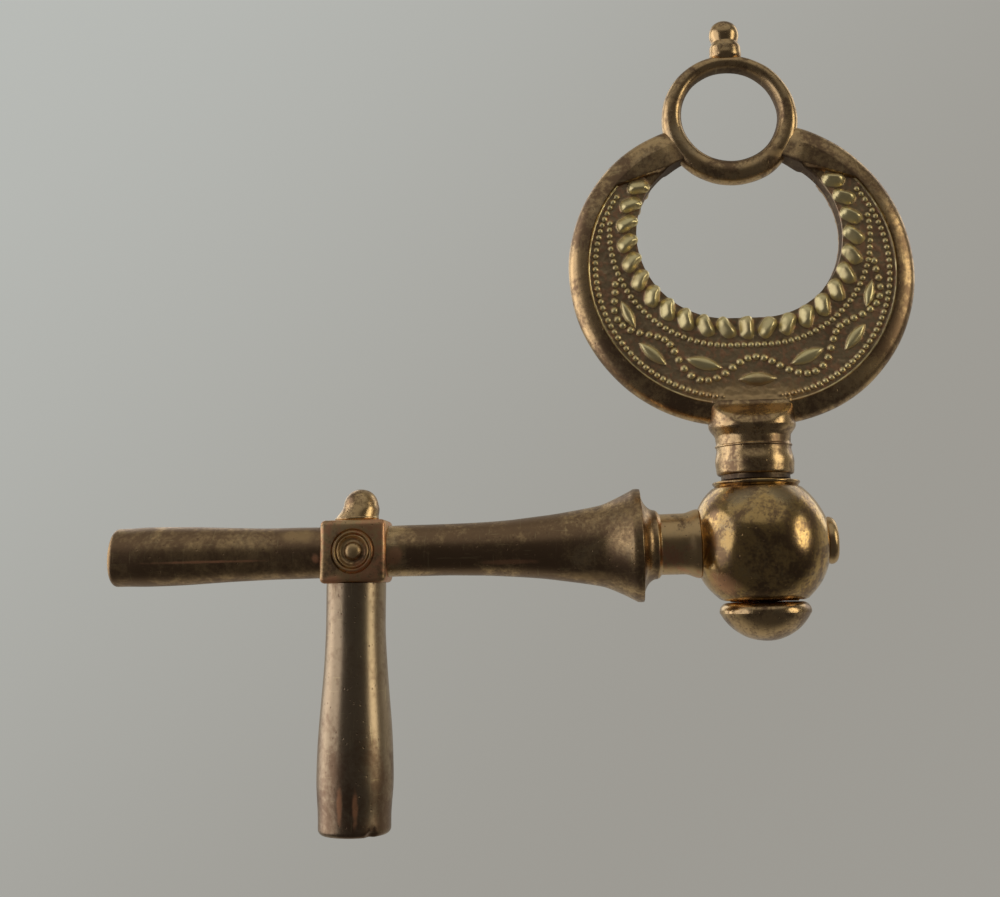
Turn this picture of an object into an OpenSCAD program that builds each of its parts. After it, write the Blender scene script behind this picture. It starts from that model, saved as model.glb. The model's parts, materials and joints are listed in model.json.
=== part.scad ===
// Crank watch key: a bow that swivels on a ball joint turns an arm with two square sockets.
// Millimetres. The origin is the centre of the winding pipe's mouth and +Z runs up the pipe.
// +X runs along the arm to the bow, and the front of the bow faces -Y.

/* [Layout] */
// Height of the arm's axis above the mouth of the winding pipe
arm_z = 15; // [13:0.1:18]
// Distance from the pipe's axis to the swivel's axis, which is the throw of the crank
throw = 23.4; // [22.8:0.1:30]

/* [Winding pipe] */
// Radius of the pipe just under the block
pipe_neck_r = 1.71; // [1.6:0.01:1.75]
// Radius of the pipe where it swells most
pipe_swell_r = 2.15; // [1.9:0.01:2.6]
// Height of the swell above the mouth
pipe_swell_z = 2.9; // [2:0.1:6]
// Radius of the pipe at its mouth
pipe_mouth_r = 2.02; // [1.85:0.01:2.5]
// Width of the winding square across its flats
winding_square = 1.6; // [1:0.05:1.75]
// Depth of the winding square
winding_depth = 6; // [4:0.1:7]

/* [Tail pipe] */
// Distance from the winding pipe's axis to the end of the tail
tail_reach = 14.3; // [12:0.1:18]
// Radius of the tail beside the block
tail_neck_r = 1.44; // [1.4:0.01:1.7]
// Radius of the tail where it swells most
tail_swell_r = 1.69; // [1.6:0.01:2.2]
// Distance of the swell from the tail's mouth
tail_swell_z = 2.2; // [1.5:0.1:4]
// Radius of the tail at its mouth
tail_mouth_r = 1.64; // [1.6:0.01:2.1]
// Width of the setting square across its flats
setting_square = 1.2; // [0.8:0.05:1.4]
// Depth of the setting square
setting_depth = 5; // [3:0.1:6]

/* [Cross block] */
// Width of the block along the arm
block_w = 3.8; // [3.6:0.1:4.4]
// Height and depth of the block
block_h = 3.5; // [3.5:0.1:4.2]
// Bevel on the block's edges
block_bevel = 0.28; // [0.1:0.01:0.4]
// Radius of the outermost ring punched in the block's face
punch_r = 1.16; // [0.9:0.02:1.3]
// Radius of the bead on top of the block
knob_r = 1.03; // [0.8:0.01:1.1]
// Height of the bead's top above the arm's axis
knob_top = 3.55; // [3.3:0.05:4.4]
// Distance that the bead is soldered off the pipe's axis, towards the bow
knob_shift = 0.25; // [-0.3:0.05:0.3]

/* [Crank arm] */
// Radius of the arm beside the block
arm_r = 1.44; // [1.35:0.01:1.7]
// Distance from the pipe's axis to the sharp rim of the trumpet
rim_x = 16.55; // [15:0.05:17]
// Radius of the sharp rim
rim_r = 3.15; // [2.6:0.05:4]
// Power of the trumpet's curve: a higher one flares later
flare_power = 2.9; // [2:0.1:5]
// Radius of the neck between the trumpet and the ball
neck_r = 1.7; // [1.5:0.02:1.84]

/* [Swivel] */
// Radius of the ball
ball_r = 4; // [3.95:0.05:4.6]
// Depth of the flat under the ball, below the arm's axis
ball_flat = 3.2; // [3:0.05:3.3]
// Height of the lip on top of the ball, above the arm's axis
lip_top = 3.42; // [3.35:0.01:3.5]
// Radius of the spindle that the bow turns on
spindle_r = 0.7; // [0.5:0.05:0.75]
// Gap all round the spindle where it turns
spindle_clearance = 0.04; // [0.02:0.01:0.08]
// Gap between the ball's faces and the parts that turn over them
face_gap = 0.1; // [0.08:0.01:0.15]
// Radius of the domed cap under the ball
cap_r = 2.6; // [2.2:0.05:2.9]
// Depth of the domed cap
cap_depth = 2.1; // [1.8:0.05:2.4]

/* [Bow] */
// Radius of the crescent's outer edge
bow_r = 9.45; // [9.2:0.05:9.8]
// Height of the crescent's centre above the arm's axis
bow_z = 16.1; // [15.9:0.05:16.3]
// Radius of the opening in the crescent
hole_r = 5.25; // [5:0.05:5.4]
// Height of the opening's centre above the arm's axis
hole_z = 18.2; // [18.1:0.05:18.4]
// Distance that the two halves of the oval are moved apart, each way
bow_split = 1; // [0.6:0.05:1.2]
// Thickness of the crescent's rim
bow_t = 2; // [1.8:0.05:2.4]
// Width of the plain rim outside the chased panel
rim_w = 1.15; // [1.1:0.05:1.3]

/* [Chasing] */
// Number of gadroon lobes round the opening
lobes = 20; // [14:2:22]
// Angle that each side's lobes lean towards the horn
lobe_lean = 38; // [0:1:45]
// Distance between the beads of a line
bead_pitch = 0.4; // [0.4:0.02:0.8]
// Radius of a bead in the two bead lines
bead_r = 0.165; // [0.1:0.005:0.18]
// Radius of a bead in the wave
wave_bead_r = 0.2; // [0.12:0.01:0.22]
// Angle of the first half wave each side of the middle
wave_step = 29; // [26:0.5:30]
// Length of each half wave as a share of the one before it
wave_ratio = 0.9; // [0.84:0.01:0.92]

/* [Pendant ring] */
// Radius of the ring's round hole
eye_r = 3; // [2.6:0.05:3.1]
// Radius of the ring's outside
ring_r = 4.25; // [4.15:0.05:4.4]
// Thickness of the ring
ring_t = 1.6; // [1.3:0.05:1.9]
// Height of the ring's centre above the arm's axis
ring_z = 25.7; // [25.5:0.05:25.9]
// Distance that the hole sits above the ring's centre
eye_rise = 0.26; // [0:0.02:0.34]
// Radius of the bead on top of the ring
finial_r = 0.94; // [0.7:0.02:1.1]
// Distance that this bead is soldered off the swivel's axis, away from the pipe
finial_shift = 0.05; // [-0.4:0.05:0.4]

/* [Hidden] */
$fn = 64;

gilt = [0.60, 0.46, 0.26];
pale_gilt = [0.72, 0.58, 0.34];
copper_gilt = [0.58, 0.40, 0.25];
steel = [0.42, 0.42, 0.41];

// Little more than nothing, by which a cutter passes the face it cuts
over = 0.01;

// Spigots that the soldered joints are made with
spigot_r = 1;
spigot_l = 0.75;
peg_r = 0.5;

// Pipes: the round edge of a mouth, the straight stretch at the block and the metal past a square
mouth_round = 0.32;
pipe_straight = 2;
liner_r = 1.35;
tail_liner_r = 1.15;
liner_floor = 2;

// Cross block: the punched lines and ring, and the collar under the bead
punch_line_w = 0.16;
punch_step = 0.24;
punch_ring_r = 0.61;
punch_ring_w = 0.32;
knob_collar_r = knob_r + 0.26;
knob_collar_h = 0.5;
knob_collar_bevel = [0.14, 0.26];

// Trumpet and neck
rim_band = 0.35;
rim_step = 0.06;
rim_lip = 0.4;
dish_depth = 0.85;
shoulder_r = 1.92;
shoulder_w = 0.28;
tenon_r = 1.2;
tenon_seat = 4;
rivet_r = 1.32;
rivet_h = 0.65;
rivet_flat = ball_r - 0.25;
neck_fillet = 0.5;
flare_x = 2.4;
flare_steps = 14;
dish_steps = 6;

// Swivel heights, from the arm's axis
lip_foot = 2.9;
lip_r = 2.55;
collar_z = lip_top + face_gap;
cap_z = ball_flat + face_gap;
spindle_top = 6.1;
spindle_end = 4.6;
cap_edge = 0.62;
cap_round = 0.45;

// Collar
collar_foot_r = 1.6;
collar_foot_h = 0.26;
collar_bead_r = 2.3;
collar_edge = 0.12;
collar_bead_z = 4.5;
collar_groove_z = 5.3;
collar_ridge = 0.07;
collar_ridge_w = 0.26;
collar_waist_r = 2.2;
collar_waist_z = 5.9;
jaw_r = 2.55;
jaw_z = 6.6;
jaw_top = 8.05;
jaw_lip = 0.12;

// Crescent: its rim slopes from a crest to a round edge
edge_r = 0.85;
rim_slope = 22;

// Chased panel: the ground lies below the rim, and the facing plate is as thick as half its recess
panel_r = bow_r - rim_w;
recess = 0.5;
ground = bow_t / 2 - recess / 2;
panel_end = 115;
relief_sink = 0.12;
lobe_l = 1.5;
lobe_r = 0.42;
lobe_end = panel_end - 4;
lean_angle = 12;
lobe_ring_r = hole_r + 0.62;
inner_line_r = hole_r + 1.63;
inner_line_end = 90;
outer_line_r = panel_r - 0.46;
outer_line_end = 116;
wave_halves = 4;
first_beads = 7;
fewer_beads = 0.6;
wave_mid = 0.49;
wave_swing = 0.25;
navette_l = 2.3;
navette_r = 0.41;
navette_mid = 0.535;
navette_swing = 0.13;
jaw_cover = 12.5;

// Ring
ring_round = 0.48;
eye_land = 0.35;
finial_foot_r = 1;
finial_foot_h = 0.75;
finial_foot_bevel = 0.14;
finial_sit = 0.78;
finial_peg_r = 0.3;
finial_peg = 0.6;

// A number that rises from 0 to 1 with level ends
function ease(t) = (1 - cos(180 * t)) / 2;

// Points of a turned outline that eases from one radius to another, without its last point
function swell(r0, z0, r1, z1, steps = 8) =
    [for (i = [0 : steps - 1]) [r0 + (r1 - r0) * ease(i / steps), z0 + (z1 - z0) * i / steps]];

// Points of an arc about a centre
function arc(r, cr, cz, a0, a1, steps = 6) =
    [for (i = [0 : steps]) let (a = a0 + (a1 - a0) * i / steps) [cr + r * cos(a), cz + r * sin(a)]];

// An outline's points on the other side of its axis, in the opposite order
function mirrored(outline) = [for (i = [len(outline) - 1 : -1 : 0]) [-outline[i][0], outline[i][1]]];

// A way along the oval, given as the angle of an equal way round a circle of radius r: it first runs
// straight for the split and then turns
function split_angle(r) = bow_split / r * 180 / PI;
function run(r, way) = bow_split * max(-1, min(1, way / split_angle(r)));
function turn(r, way) = sign(way) * max(0, abs(way) - split_angle(r));

// A point of the bow's plane at an angle from straight below a centre
function below(centre, r, angle) = [r * sin(angle), centre - r * cos(angle)];

// A point of the bow's plane after a way along an oval about a centre
function on_oval(centre, r, way) = [run(r, way), 0] + below(centre, r, turn(r, way));

// Radius of the panel's inner bead line, seen from the crescent's centre
bow_offset = hole_z - bow_z;
function panel_in(angle) =
    sqrt(pow(inner_line_r, 2) - pow(bow_offset * sin(angle), 2)) - bow_offset * cos(angle);
function panel_width(angle) = outer_line_r - panel_in(angle);
panel_mid_r = (inner_line_r - bow_offset + outer_line_r) / 2;
function panel_turn(way) = turn(panel_mid_r, way);
function panel_point(way, share) =
    let (angle = panel_turn(way))
    [run(panel_mid_r, way), 0] + below(bow_z, panel_in(angle) + share * panel_width(angle), angle);

// Way of the wave after a number of halves, which shorten as the panel narrows
function wave_way(halves) =
    sign(halves) * wave_step * (1 - pow(wave_ratio, abs(halves))) / (1 - wave_ratio);
function wave_point(halves) =
    panel_point(wave_way(halves), wave_mid - wave_swing * cos(180 * halves));

// Beads in the half wave that starts after a number of halves
function wave_beads(halves) = round(first_beads - fewer_beads * halves);

module turned(outline) {
    rotate_extrude() polygon(outline);
}

// Carries a turned piece from +Z on to the arm's axis
module along_arm(towards) {
    translate([0, 0, arm_z]) rotate([0, 90 * towards, 0]) children();
}

// Carries a piece drawn on the spindle's axis, with heights from the arm's axis
module on_spindle() {
    translate([throw, 0, arm_z]) children();
}

// Carries a piece drawn in the bow's plane, where Z points to the front
module in_bow_plane() {
    on_spindle() rotate([90, 0, 0]) children();
}

// A turned pipe with its mouth at 0, a swell, a neck, a spigot for the block and a bore for its liner
module pipe(mouth_r, swell_r, swell_z, neck_r, length, bore_r, bore_depth) {
    turned(concat(
        [[bore_r, 0]],
        arc(mouth_round, mouth_r - mouth_round, mouth_round, -90, 0),
        swell(mouth_r, 2 * mouth_round, swell_r, swell_z, 4),
        swell(swell_r, swell_z, neck_r, length - pipe_straight),
        [[neck_r, length - pipe_straight], [neck_r, length], [spigot_r, length],
         [spigot_r, length + spigot_l], [0, length + spigot_l], [0, bore_depth], [bore_r, bore_depth]]
    ));
}

// A steel liner with a square hole, open at 0
module liner(r, length, square_w, depth) {
    difference() {
        cylinder(r = r, h = length);
        translate([-square_w / 2, -square_w / 2, -over]) cube([square_w, square_w, depth + over]);
    }
}

module winding_pipe() {
    length = arm_z - block_h / 2;
    bore_depth = winding_depth + liner_floor;
    color(gilt) pipe(pipe_mouth_r, pipe_swell_r, pipe_swell_z, pipe_neck_r, length, liner_r, bore_depth);
}

module winding_socket() {
    color(steel) liner(liner_r, winding_depth + liner_floor, winding_square, winding_depth);
}

module tail_pipe() {
    length = tail_reach - block_w / 2;
    bore_depth = setting_depth + liner_floor;
    color(gilt) translate([-tail_reach, 0, 0]) along_arm(1)
        pipe(tail_mouth_r, tail_swell_r, tail_swell_z, tail_neck_r, length, tail_liner_r, bore_depth);
}

module tail_socket() {
    color(steel) translate([-tail_reach, 0, 0]) along_arm(1)
        liner(tail_liner_r, setting_depth + liner_floor, setting_square, setting_depth);
}

// A rectangle with its corners cut off
module bevelled(w, h) {
    b = block_bevel;
    polygon([
        [w / 2 - b, -h / 2], [w / 2, b - h / 2], [w / 2, h / 2 - b], [w / 2 - b, h / 2],
        [b - w / 2, h / 2], [-w / 2, h / 2 - b], [-w / 2, b - h / 2], [b - w / 2, -h / 2]
    ]);
}

// One ring-shaped groove of the punch, cut to a V
module punched_groove(r, w) {
    rotate_extrude() polygon([[r - w / 2, over], [r, -w / 2], [r + w / 2, over]]);
}

module block_punch() {
    for (line = [0, 1]) punched_groove(punch_r - line * punch_step, punch_line_w);
    punched_groove(punch_ring_r, punch_ring_w);
}

module cross_block() {
    color(copper_gilt) translate([0, 0, arm_z]) difference() {
        intersection() {
            linear_extrude(block_h, center = true) bevelled(block_w, block_h);
            rotate([90, 0, 0]) linear_extrude(block_h, center = true) bevelled(block_w, block_h);
            rotate([0, 90, 0]) linear_extrude(block_w, center = true) bevelled(block_h, block_h);
        }
        for (side = [0, 180])
            rotate([0, 0, side]) translate([0, -block_h / 2, 0]) rotate([90, 0, 0]) block_punch();
        translate([0, 0, -block_h / 2 - over]) cylinder(r = spigot_r, h = spigot_l + over);
        for (towards = [-1, 1])
            rotate([0, 90 * towards, 0])
                translate([0, 0, block_w / 2 - spigot_l]) cylinder(r = spigot_r, h = spigot_l + over);
        translate([0, 0, block_h / 2 - spigot_l]) cylinder(r = peg_r, h = spigot_l + over);
    }
}

module block_finial() {
    foot = block_h / 2;
    top = foot + knob_collar_h;
    bevel = knob_collar_bevel;
    color(pale_gilt) translate([0, 0, arm_z]) union() {
        turned([
            [0, foot - spigot_l], [peg_r, foot - spigot_l], [peg_r, foot], [knob_collar_r, foot],
            [knob_collar_r, top - bevel[1]], [knob_collar_r - bevel[0], top], [0, top]
        ]);
        intersection() {
            translate([knob_shift, 0, knob_top - knob_r]) sphere(knob_r);
            translate([0, 0, foot]) cylinder(r = 2 * knob_r, h = knob_top);
        }
    }
}

module crank_arm() {
    flare_end = rim_x - rim_band;
    flare_r = rim_r - rim_lip;
    color(gilt) along_arm(1) turned(concat(
        [[0, block_w / 2 - spigot_l], [spigot_r, block_w / 2 - spigot_l], [spigot_r, block_w / 2],
         [arm_r, block_w / 2]],
        [for (i = [0 : flare_steps])
            let (t = i / flare_steps)
            [arm_r + (flare_r - arm_r) * pow(t, flare_power), flare_x + (flare_end - flare_x) * t]],
        [[flare_r - rim_step, flare_end], [rim_r - rim_step, rim_x - rim_step], [rim_r, rim_x]],
        [for (i = [1 : dish_steps])
            let (t = i / dish_steps)
            [rim_r + (shoulder_r - rim_r) * sin(90 * t), rim_x + dish_depth * (1 - cos(90 * t))]],
        [[tenon_r, rim_x + dish_depth], [tenon_r, rim_x + dish_depth - tenon_seat],
         [0, rim_x + dish_depth - tenon_seat]]
    ));
}

module neck_tenon() {
    start = rim_x + dish_depth;
    foot = throw - ball_r;
    head = throw + rivet_flat;
    dome_r = (pow(rivet_r, 2) + pow(rivet_h, 2)) / (2 * rivet_h);
    color(copper_gilt) difference() {
        along_arm(1) union() {
            difference() {
                turned(concat(
                    [[0, start - tenon_seat], [tenon_r, start - tenon_seat], [tenon_r, start],
                     [shoulder_r, start], [shoulder_r, start + shoulder_w], [neck_r, start + shoulder_w]],
                    swell(neck_r, foot - neck_fillet, shoulder_r, foot + neck_fillet, 5),
                    [[shoulder_r, foot + neck_fillet], [shoulder_r, foot + shoulder_r / 2],
                     [0, foot + shoulder_r / 2]]
                ));
                translate([0, 0, throw]) sphere(ball_r);
            }
            translate([0, 0, start]) cylinder(r = tenon_r, h = head - start);
            translate([0, 0, head]) intersection() {
                cylinder(r = rivet_r, h = rivet_h);
                translate([0, 0, rivet_h - dome_r]) sphere(dome_r);
            }
        }
        on_spindle() cylinder(r = spindle_r + spindle_clearance, h = 3 * tenon_r, center = true);
    }
}

module swivel_ball() {
    color(gilt) on_spindle() difference() {
        union() {
            intersection() {
                sphere(ball_r);
                cylinder(r = ball_r, h = 2 * ball_flat, center = true);
            }
            translate([0, 0, lip_foot]) cylinder(r = lip_r, h = lip_top - lip_foot);
        }
        cylinder(r = spindle_r + spindle_clearance, h = 2 * ball_r, center = true);
        rotate([0, 90, 0]) cylinder(r = tenon_r, h = 2 * ball_r, center = true);
        rotate([0, 90, 0]) translate([0, 0, rivet_flat]) cylinder(r = ball_r, h = ball_r);
    }
}

module swivel_spindle() {
    color(steel) on_spindle() translate([0, 0, -spindle_end])
        cylinder(r = spindle_r, h = spindle_end + spindle_top);
}

module spindle_cap() {
    dome_h = cap_depth - cap_edge;
    dome_r = (pow(cap_r, 2) + pow(dome_h, 2)) / (2 * dome_h);
    color(pale_gilt) on_spindle() translate([0, 0, -cap_z]) mirror([0, 0, 1]) difference() {
        union() {
            turned(concat(
                [[0, 0]], arc(cap_round, cap_r - cap_round, cap_round, -90, 0),
                [[cap_r, cap_edge], [0, cap_edge]]
            ));
            translate([0, 0, cap_edge]) intersection() {
                cylinder(r = cap_r, h = dome_h);
                translate([0, 0, dome_h - dome_r]) sphere(dome_r);
            }
        }
        translate([0, 0, -over]) cylinder(r = spindle_r, h = spindle_end - cap_z + over);
    }
}

// The collar's foot, bead and waist, and the wedge that becomes its two jaws
module collar_blank() {
    bead_start = collar_z + collar_foot_h;
    wedge = swell(jaw_r, jaw_z, bow_t / 2 + jaw_lip, jaw_top);
    turned(concat(
        [[0, collar_z], [collar_foot_r, collar_z], [collar_foot_r, bead_start],
         [collar_bead_r - collar_edge, bead_start]],
        swell(collar_bead_r - collar_edge / 2, bead_start + collar_edge, collar_bead_r, collar_bead_z, 3),
        swell(collar_bead_r, collar_bead_z, collar_waist_r, collar_groove_z, 4),
        [[collar_waist_r, collar_groove_z],
         [collar_waist_r + collar_ridge, collar_groove_z + collar_ridge_w / 2],
         [collar_waist_r, collar_groove_z + collar_ridge_w]],
        swell(collar_waist_r, collar_waist_z, jaw_r, jaw_z, 4),
        [[jaw_r, jaw_z], [0, jaw_z]]
    ));
    intersection() {
        translate([0, 0, jaw_z - over]) cylinder(r = jaw_r, h = jaw_top - jaw_z + 2 * over);
        rotate([90, 0, 90]) linear_extrude(3 * jaw_r, center = true) polygon(concat(
            wedge, [[bow_t / 2 + jaw_lip, jaw_top], [-bow_t / 2 - jaw_lip, jaw_top]], mirrored(wedge)
        ));
    }
}

module bow_collar() {
    color(pale_gilt) difference() {
        on_spindle() difference() {
            collar_blank();
            translate([0, 0, collar_z - over]) cylinder(r = spindle_r, h = spindle_top - collar_z + over);
        }
        crescent();
        for (side = [0, 1]) mirror([0, side, 0]) facing_plate();
    }
}

// An oval piece: an outline turned in two halves that are moved apart, with a straight middle
module oval(outline) {
    for (side = [0, 1])
        mirror([side, 0, 0]) translate([bow_split, 0, 0]) rotate([0, 0, -90])
            rotate_extrude(angle = 180) polygon(outline);
    rotate([90, 0, 90]) linear_extrude(2 * bow_split, center = true)
        polygon(concat(outline, mirrored([for (p = outline) if (p[0] > 0) p])));
}

// A plain oval plate between two heights
module oval_plate(r, z0, z1) {
    oval([[0, z0], [r, z0], [r, z1], [0, z1]]);
}

// The chased panel between two heights, which has the opening and stops short of the horns
module panel(z0, z1) {
    far = 3 * bow_r;
    difference() {
        translate([0, bow_z, 0]) oval_plate(panel_r, z0, z1);
        translate([0, hole_z, 0]) oval_plate(hole_r, z0 - over, z1 + over);
        translate([0, 0, z0 - over]) linear_extrude(z1 - z0 + 2 * over) polygon([
            [0, hole_z], below(hole_z, far, panel_end),
            below(hole_z, far, 180), below(hole_z, far, -panel_end)
        ]);
    }
}

// The crescent with its sloped rim, its recesses for the facings and its horns cut to the ring
module crescent() {
    half_t = bow_t / 2;
    edge = arc(edge_r, bow_r - edge_r, 0, rim_slope - 90, 90 - rim_slope, 8);
    crest_r = edge[0][0] - (half_t + edge[0][1]) / tan(rim_slope);
    in_bow_plane() difference() {
        translate([0, bow_z, 0])
            oval(concat([[0, -half_t], [crest_r, -half_t]], edge, [[crest_r, half_t], [0, half_t]]));
        translate([0, hole_z, 0]) oval_plate(hole_r, -bow_t, bow_t);
        translate([0, ring_z, 0]) cylinder(r = ring_r, h = 2 * bow_t, center = true);
        for (side = [0, 1]) mirror([0, 0, side]) panel(half_t - recess, half_t + over);
    }
}

module bow_frame() {
    color(gilt) crescent();
}

// A pointed lobe along Y with a flat back, turned from an arc
module almond(length, r) {
    arc_r = (pow(length / 2, 2) + pow(r, 2)) / (2 * r);
    rotate([90, 0, 0]) rotate_extrude(angle = 180, $fn = 24) intersection() {
        translate([r - arc_r, 0]) circle(arc_r);
        translate([0, -length]) square(2 * length);
    }
}

module gadroon_lobes() {
    for (i = [0 : lobes - 1]) {
        way = (i - (lobes - 1) / 2) * 2 * (lobe_end + split_angle(lobe_ring_r)) / lobes;
        lean = -lobe_lean * max(-1, min(1, way / lean_angle));
        translate(concat(on_oval(hole_z, lobe_ring_r, way), [ground - relief_sink]))
            rotate([0, 0, turn(lobe_ring_r, way) + lean]) almond(lobe_l, lobe_r);
    }
}

// A line of beads on an oval about a centre, with a bare stretch in the middle
module bead_line(centre, r, end, bare) {
    long = end + split_angle(r) - bare;
    count = floor(2 * PI * r * long / 360 / bead_pitch);
    for (side = [-1, 1], i = [0 : count])
        if (bare > 0 || side > 0 || i > 0)
            translate(concat(on_oval(centre, r, side * (bare + long * i / count)), [ground]))
                sphere(bead_r, $fn = 24);
}

module beaded_wave() {
    for (side = [-1, 1], half = [0 : wave_halves - 1]) {
        beads = wave_beads(half);
        for (i = [0 : beads - 1])
            if (side > 0 || half + i > 0)
                translate(concat(wave_point(side * (half + i / beads)), [ground]))
                    sphere(wave_bead_r, $fn = 24);
    }
}

module navettes() {
    for (half = [1 - wave_halves : wave_halves - 1]) {
        way = wave_way(half);
        angle = panel_turn(way);
        size = sqrt(panel_width(angle) / panel_width(0));
        share = navette_mid + navette_swing * cos(180 * half);
        translate(concat(panel_point(way, share), [ground - relief_sink]))
            rotate([0, 0, angle + 90]) almond(size * navette_l, size * navette_r);
    }
}

// The plain plate that fills half the depth of the front recess
module facing_plate() {
    in_bow_plane() panel(bow_t / 2 - recess, ground);
}

// The plate with its chased lobes, bead lines, wave and navettes
module chased_facing() {
    facing_plate();
    in_bow_plane() {
        gadroon_lobes();
        bead_line(hole_z, inner_line_r, inner_line_end, 0);
        bead_line(bow_z, outer_line_r, outer_line_end, jaw_cover);
        beaded_wave();
        navettes();
    }
}

module front_facing() {
    color(pale_gilt) chased_facing();
}

module back_facing() {
    color(pale_gilt) mirror([0, 1, 0]) chased_facing();
}

module pendant_ring() {
    flat = ring_t / 2 - ring_round;
    lip = ring_t / 2 - eye_land;
    color(gilt) in_bow_plane() translate([0, ring_z, 0]) difference() {
        union() {
            cylinder(r = ring_r - ring_round, h = ring_t, center = true);
            cylinder(r = ring_r, h = 2 * flat, center = true);
            for (side = [-1, 1])
                translate([0, 0, side * flat])
                    rotate_extrude() translate([ring_r - ring_round, 0]) circle(ring_round);
        }
        translate([0, eye_rise, 0]) {
            cylinder(r = eye_r, h = 2 * ring_t, center = true);
            for (side = [0, 1])
                mirror([0, 0, side]) translate([0, 0, eye_land]) rotate_extrude() difference() {
                    square([eye_r + lip, lip + over]);
                    translate([eye_r + lip, 0]) circle(lip);
                }
        }
        translate([finial_shift, ring_r, 0]) rotate([90, 0, 0])
            cylinder(r = finial_peg_r, h = 2 * finial_peg, center = true);
    }
}

// The bead and its foot, which is cut to the ring, with a peg down into the ring
module ring_finial() {
    ring_top = ring_z + ring_r;
    foot_top = ring_top + finial_foot_h;
    bevel = finial_foot_bevel;
    color(pale_gilt) on_spindle() {
        translate([finial_shift, 0, ring_top - finial_peg]) cylinder(r = finial_peg_r, h = 2 * finial_peg);
        difference() {
            translate([finial_shift, 0, 0]) turned([
                [0, ring_z], [finial_foot_r, ring_z], [finial_foot_r, foot_top - bevel],
                [finial_foot_r - bevel, foot_top], [0, foot_top]
            ]);
            translate([0, 0, ring_z]) rotate([90, 0, 0])
                cylinder(r = ring_r, h = 4 * finial_foot_r, center = true);
        }
        translate([finial_shift, 0, foot_top + finial_sit * finial_r]) sphere(finial_r);
    }
}

winding_pipe();
winding_socket();
cross_block();
block_finial();
tail_pipe();
tail_socket();
crank_arm();
neck_tenon();
swivel_ball();
swivel_spindle();
spindle_cap();
bow_collar();
bow_frame();
front_facing();
back_facing();
pendant_ring();
ring_finial();
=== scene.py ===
"""Crank watch key with a chased crescent bow: its aged gilt pieces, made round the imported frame."""

import json
from math import acos, asin, copysign, cos, degrees, dist, exp, log1p, pi, radians, sin, sqrt, tan

import bmesh
import bpy
from bpy.props import FloatProperty, FloatVectorProperty, IntProperty, PointerProperty
from mathutils import Matrix, Vector, noise
from mathutils.kdtree import KDTree


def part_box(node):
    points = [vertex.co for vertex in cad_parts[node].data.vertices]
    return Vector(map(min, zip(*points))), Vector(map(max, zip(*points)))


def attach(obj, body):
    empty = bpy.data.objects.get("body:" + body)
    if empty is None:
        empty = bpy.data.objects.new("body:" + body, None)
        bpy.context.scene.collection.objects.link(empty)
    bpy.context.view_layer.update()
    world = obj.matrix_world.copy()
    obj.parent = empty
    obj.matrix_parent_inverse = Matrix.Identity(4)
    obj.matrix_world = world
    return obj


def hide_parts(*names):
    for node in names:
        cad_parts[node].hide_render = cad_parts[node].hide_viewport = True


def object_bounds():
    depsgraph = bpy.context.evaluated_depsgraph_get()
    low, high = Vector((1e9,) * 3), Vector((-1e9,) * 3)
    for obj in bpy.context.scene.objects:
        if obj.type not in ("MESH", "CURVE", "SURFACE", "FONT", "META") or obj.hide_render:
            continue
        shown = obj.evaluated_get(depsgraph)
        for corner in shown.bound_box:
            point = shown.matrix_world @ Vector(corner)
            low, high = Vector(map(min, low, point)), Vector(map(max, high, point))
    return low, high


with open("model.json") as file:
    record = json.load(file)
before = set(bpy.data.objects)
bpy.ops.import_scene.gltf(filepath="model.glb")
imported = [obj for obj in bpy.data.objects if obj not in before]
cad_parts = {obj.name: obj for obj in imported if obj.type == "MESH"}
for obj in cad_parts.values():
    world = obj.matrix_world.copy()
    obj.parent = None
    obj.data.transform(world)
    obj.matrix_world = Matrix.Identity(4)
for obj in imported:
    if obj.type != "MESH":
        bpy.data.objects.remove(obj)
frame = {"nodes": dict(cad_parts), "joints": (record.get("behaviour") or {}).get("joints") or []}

bl_info = {
    "name": "Crank Watch Key",
    "version": (1, 0, 0),
    "blender": (4, 5, 0),
    "location": "View3D > Sidebar > Watch Key",
    "description": "Makes the aged gilt pieces of a crank watch key round its frame",
    "category": "Add Mesh",
}

CAD_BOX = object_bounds()
MM = 0.001
# Distance within which points of a mesh are merged, and angle from which an edge is sharp
WELD = 1e-7
SHARP = radians(32)

# Axes of the key: the arm lies along X at the swivel's height, and the bow turns about the spindle
SWIVEL = next(joint for joint in frame["joints"] if joint["name"] == "bow_swivel")
THROW, _, ARM_Z = SWIVEL["pos_m"]
ALONG_ARM = Matrix.Translation((0, 0, ARM_Z)) @ Matrix.Rotation(pi / 2, 4, "Y")
ON_SPINDLE = Matrix.Translation((THROW, 0, ARM_Z))

# Half the straight middle of the crescent's oval, in millimetres
SPLIT = 1.0

# Sides of most turned pieces, of the small ones, and of the collar, whose jaws are shaped later
SIDES, FEW_SIDES, MANY_SIDES = 128, 64, 256

# Soft lights, all at one distance from the key's middle: name, azimuth and elevation in degrees,
# width and height in metres, power in watts, and colour
LIGHT_DISTANCE = 0.32
LIGHTS = (
    ("left_window", -88, 4, (0.56, 0.46), 0.56, (0.97, 0.95, 1.0)),
    ("left_strip", -98, 6, (0.14, 0.40), 0.08, (0.97, 0.95, 1.0)),
    ("right_window", 68, 8, (0.16, 0.24), 0.17, (1.0, 0.93, 0.76)),
    ("ceiling", -8, 60, (0.60, 0.45), 0.13, (1, 1, 1)),
    ("back_left", -150, 25, (0.16, 0.24), 0.08, (1, 1, 1)),
    ("back_right", 130, 25, (0.16, 0.24), 0.08, (1, 1, 1)),
)


def low(node, axis):
    """Lowest place of a node along an axis."""
    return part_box(node)[0][axis]


def high(node, axis):
    """Highest place of a node along an axis."""
    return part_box(node)[1][axis]


# Settings that a user may change


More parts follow.
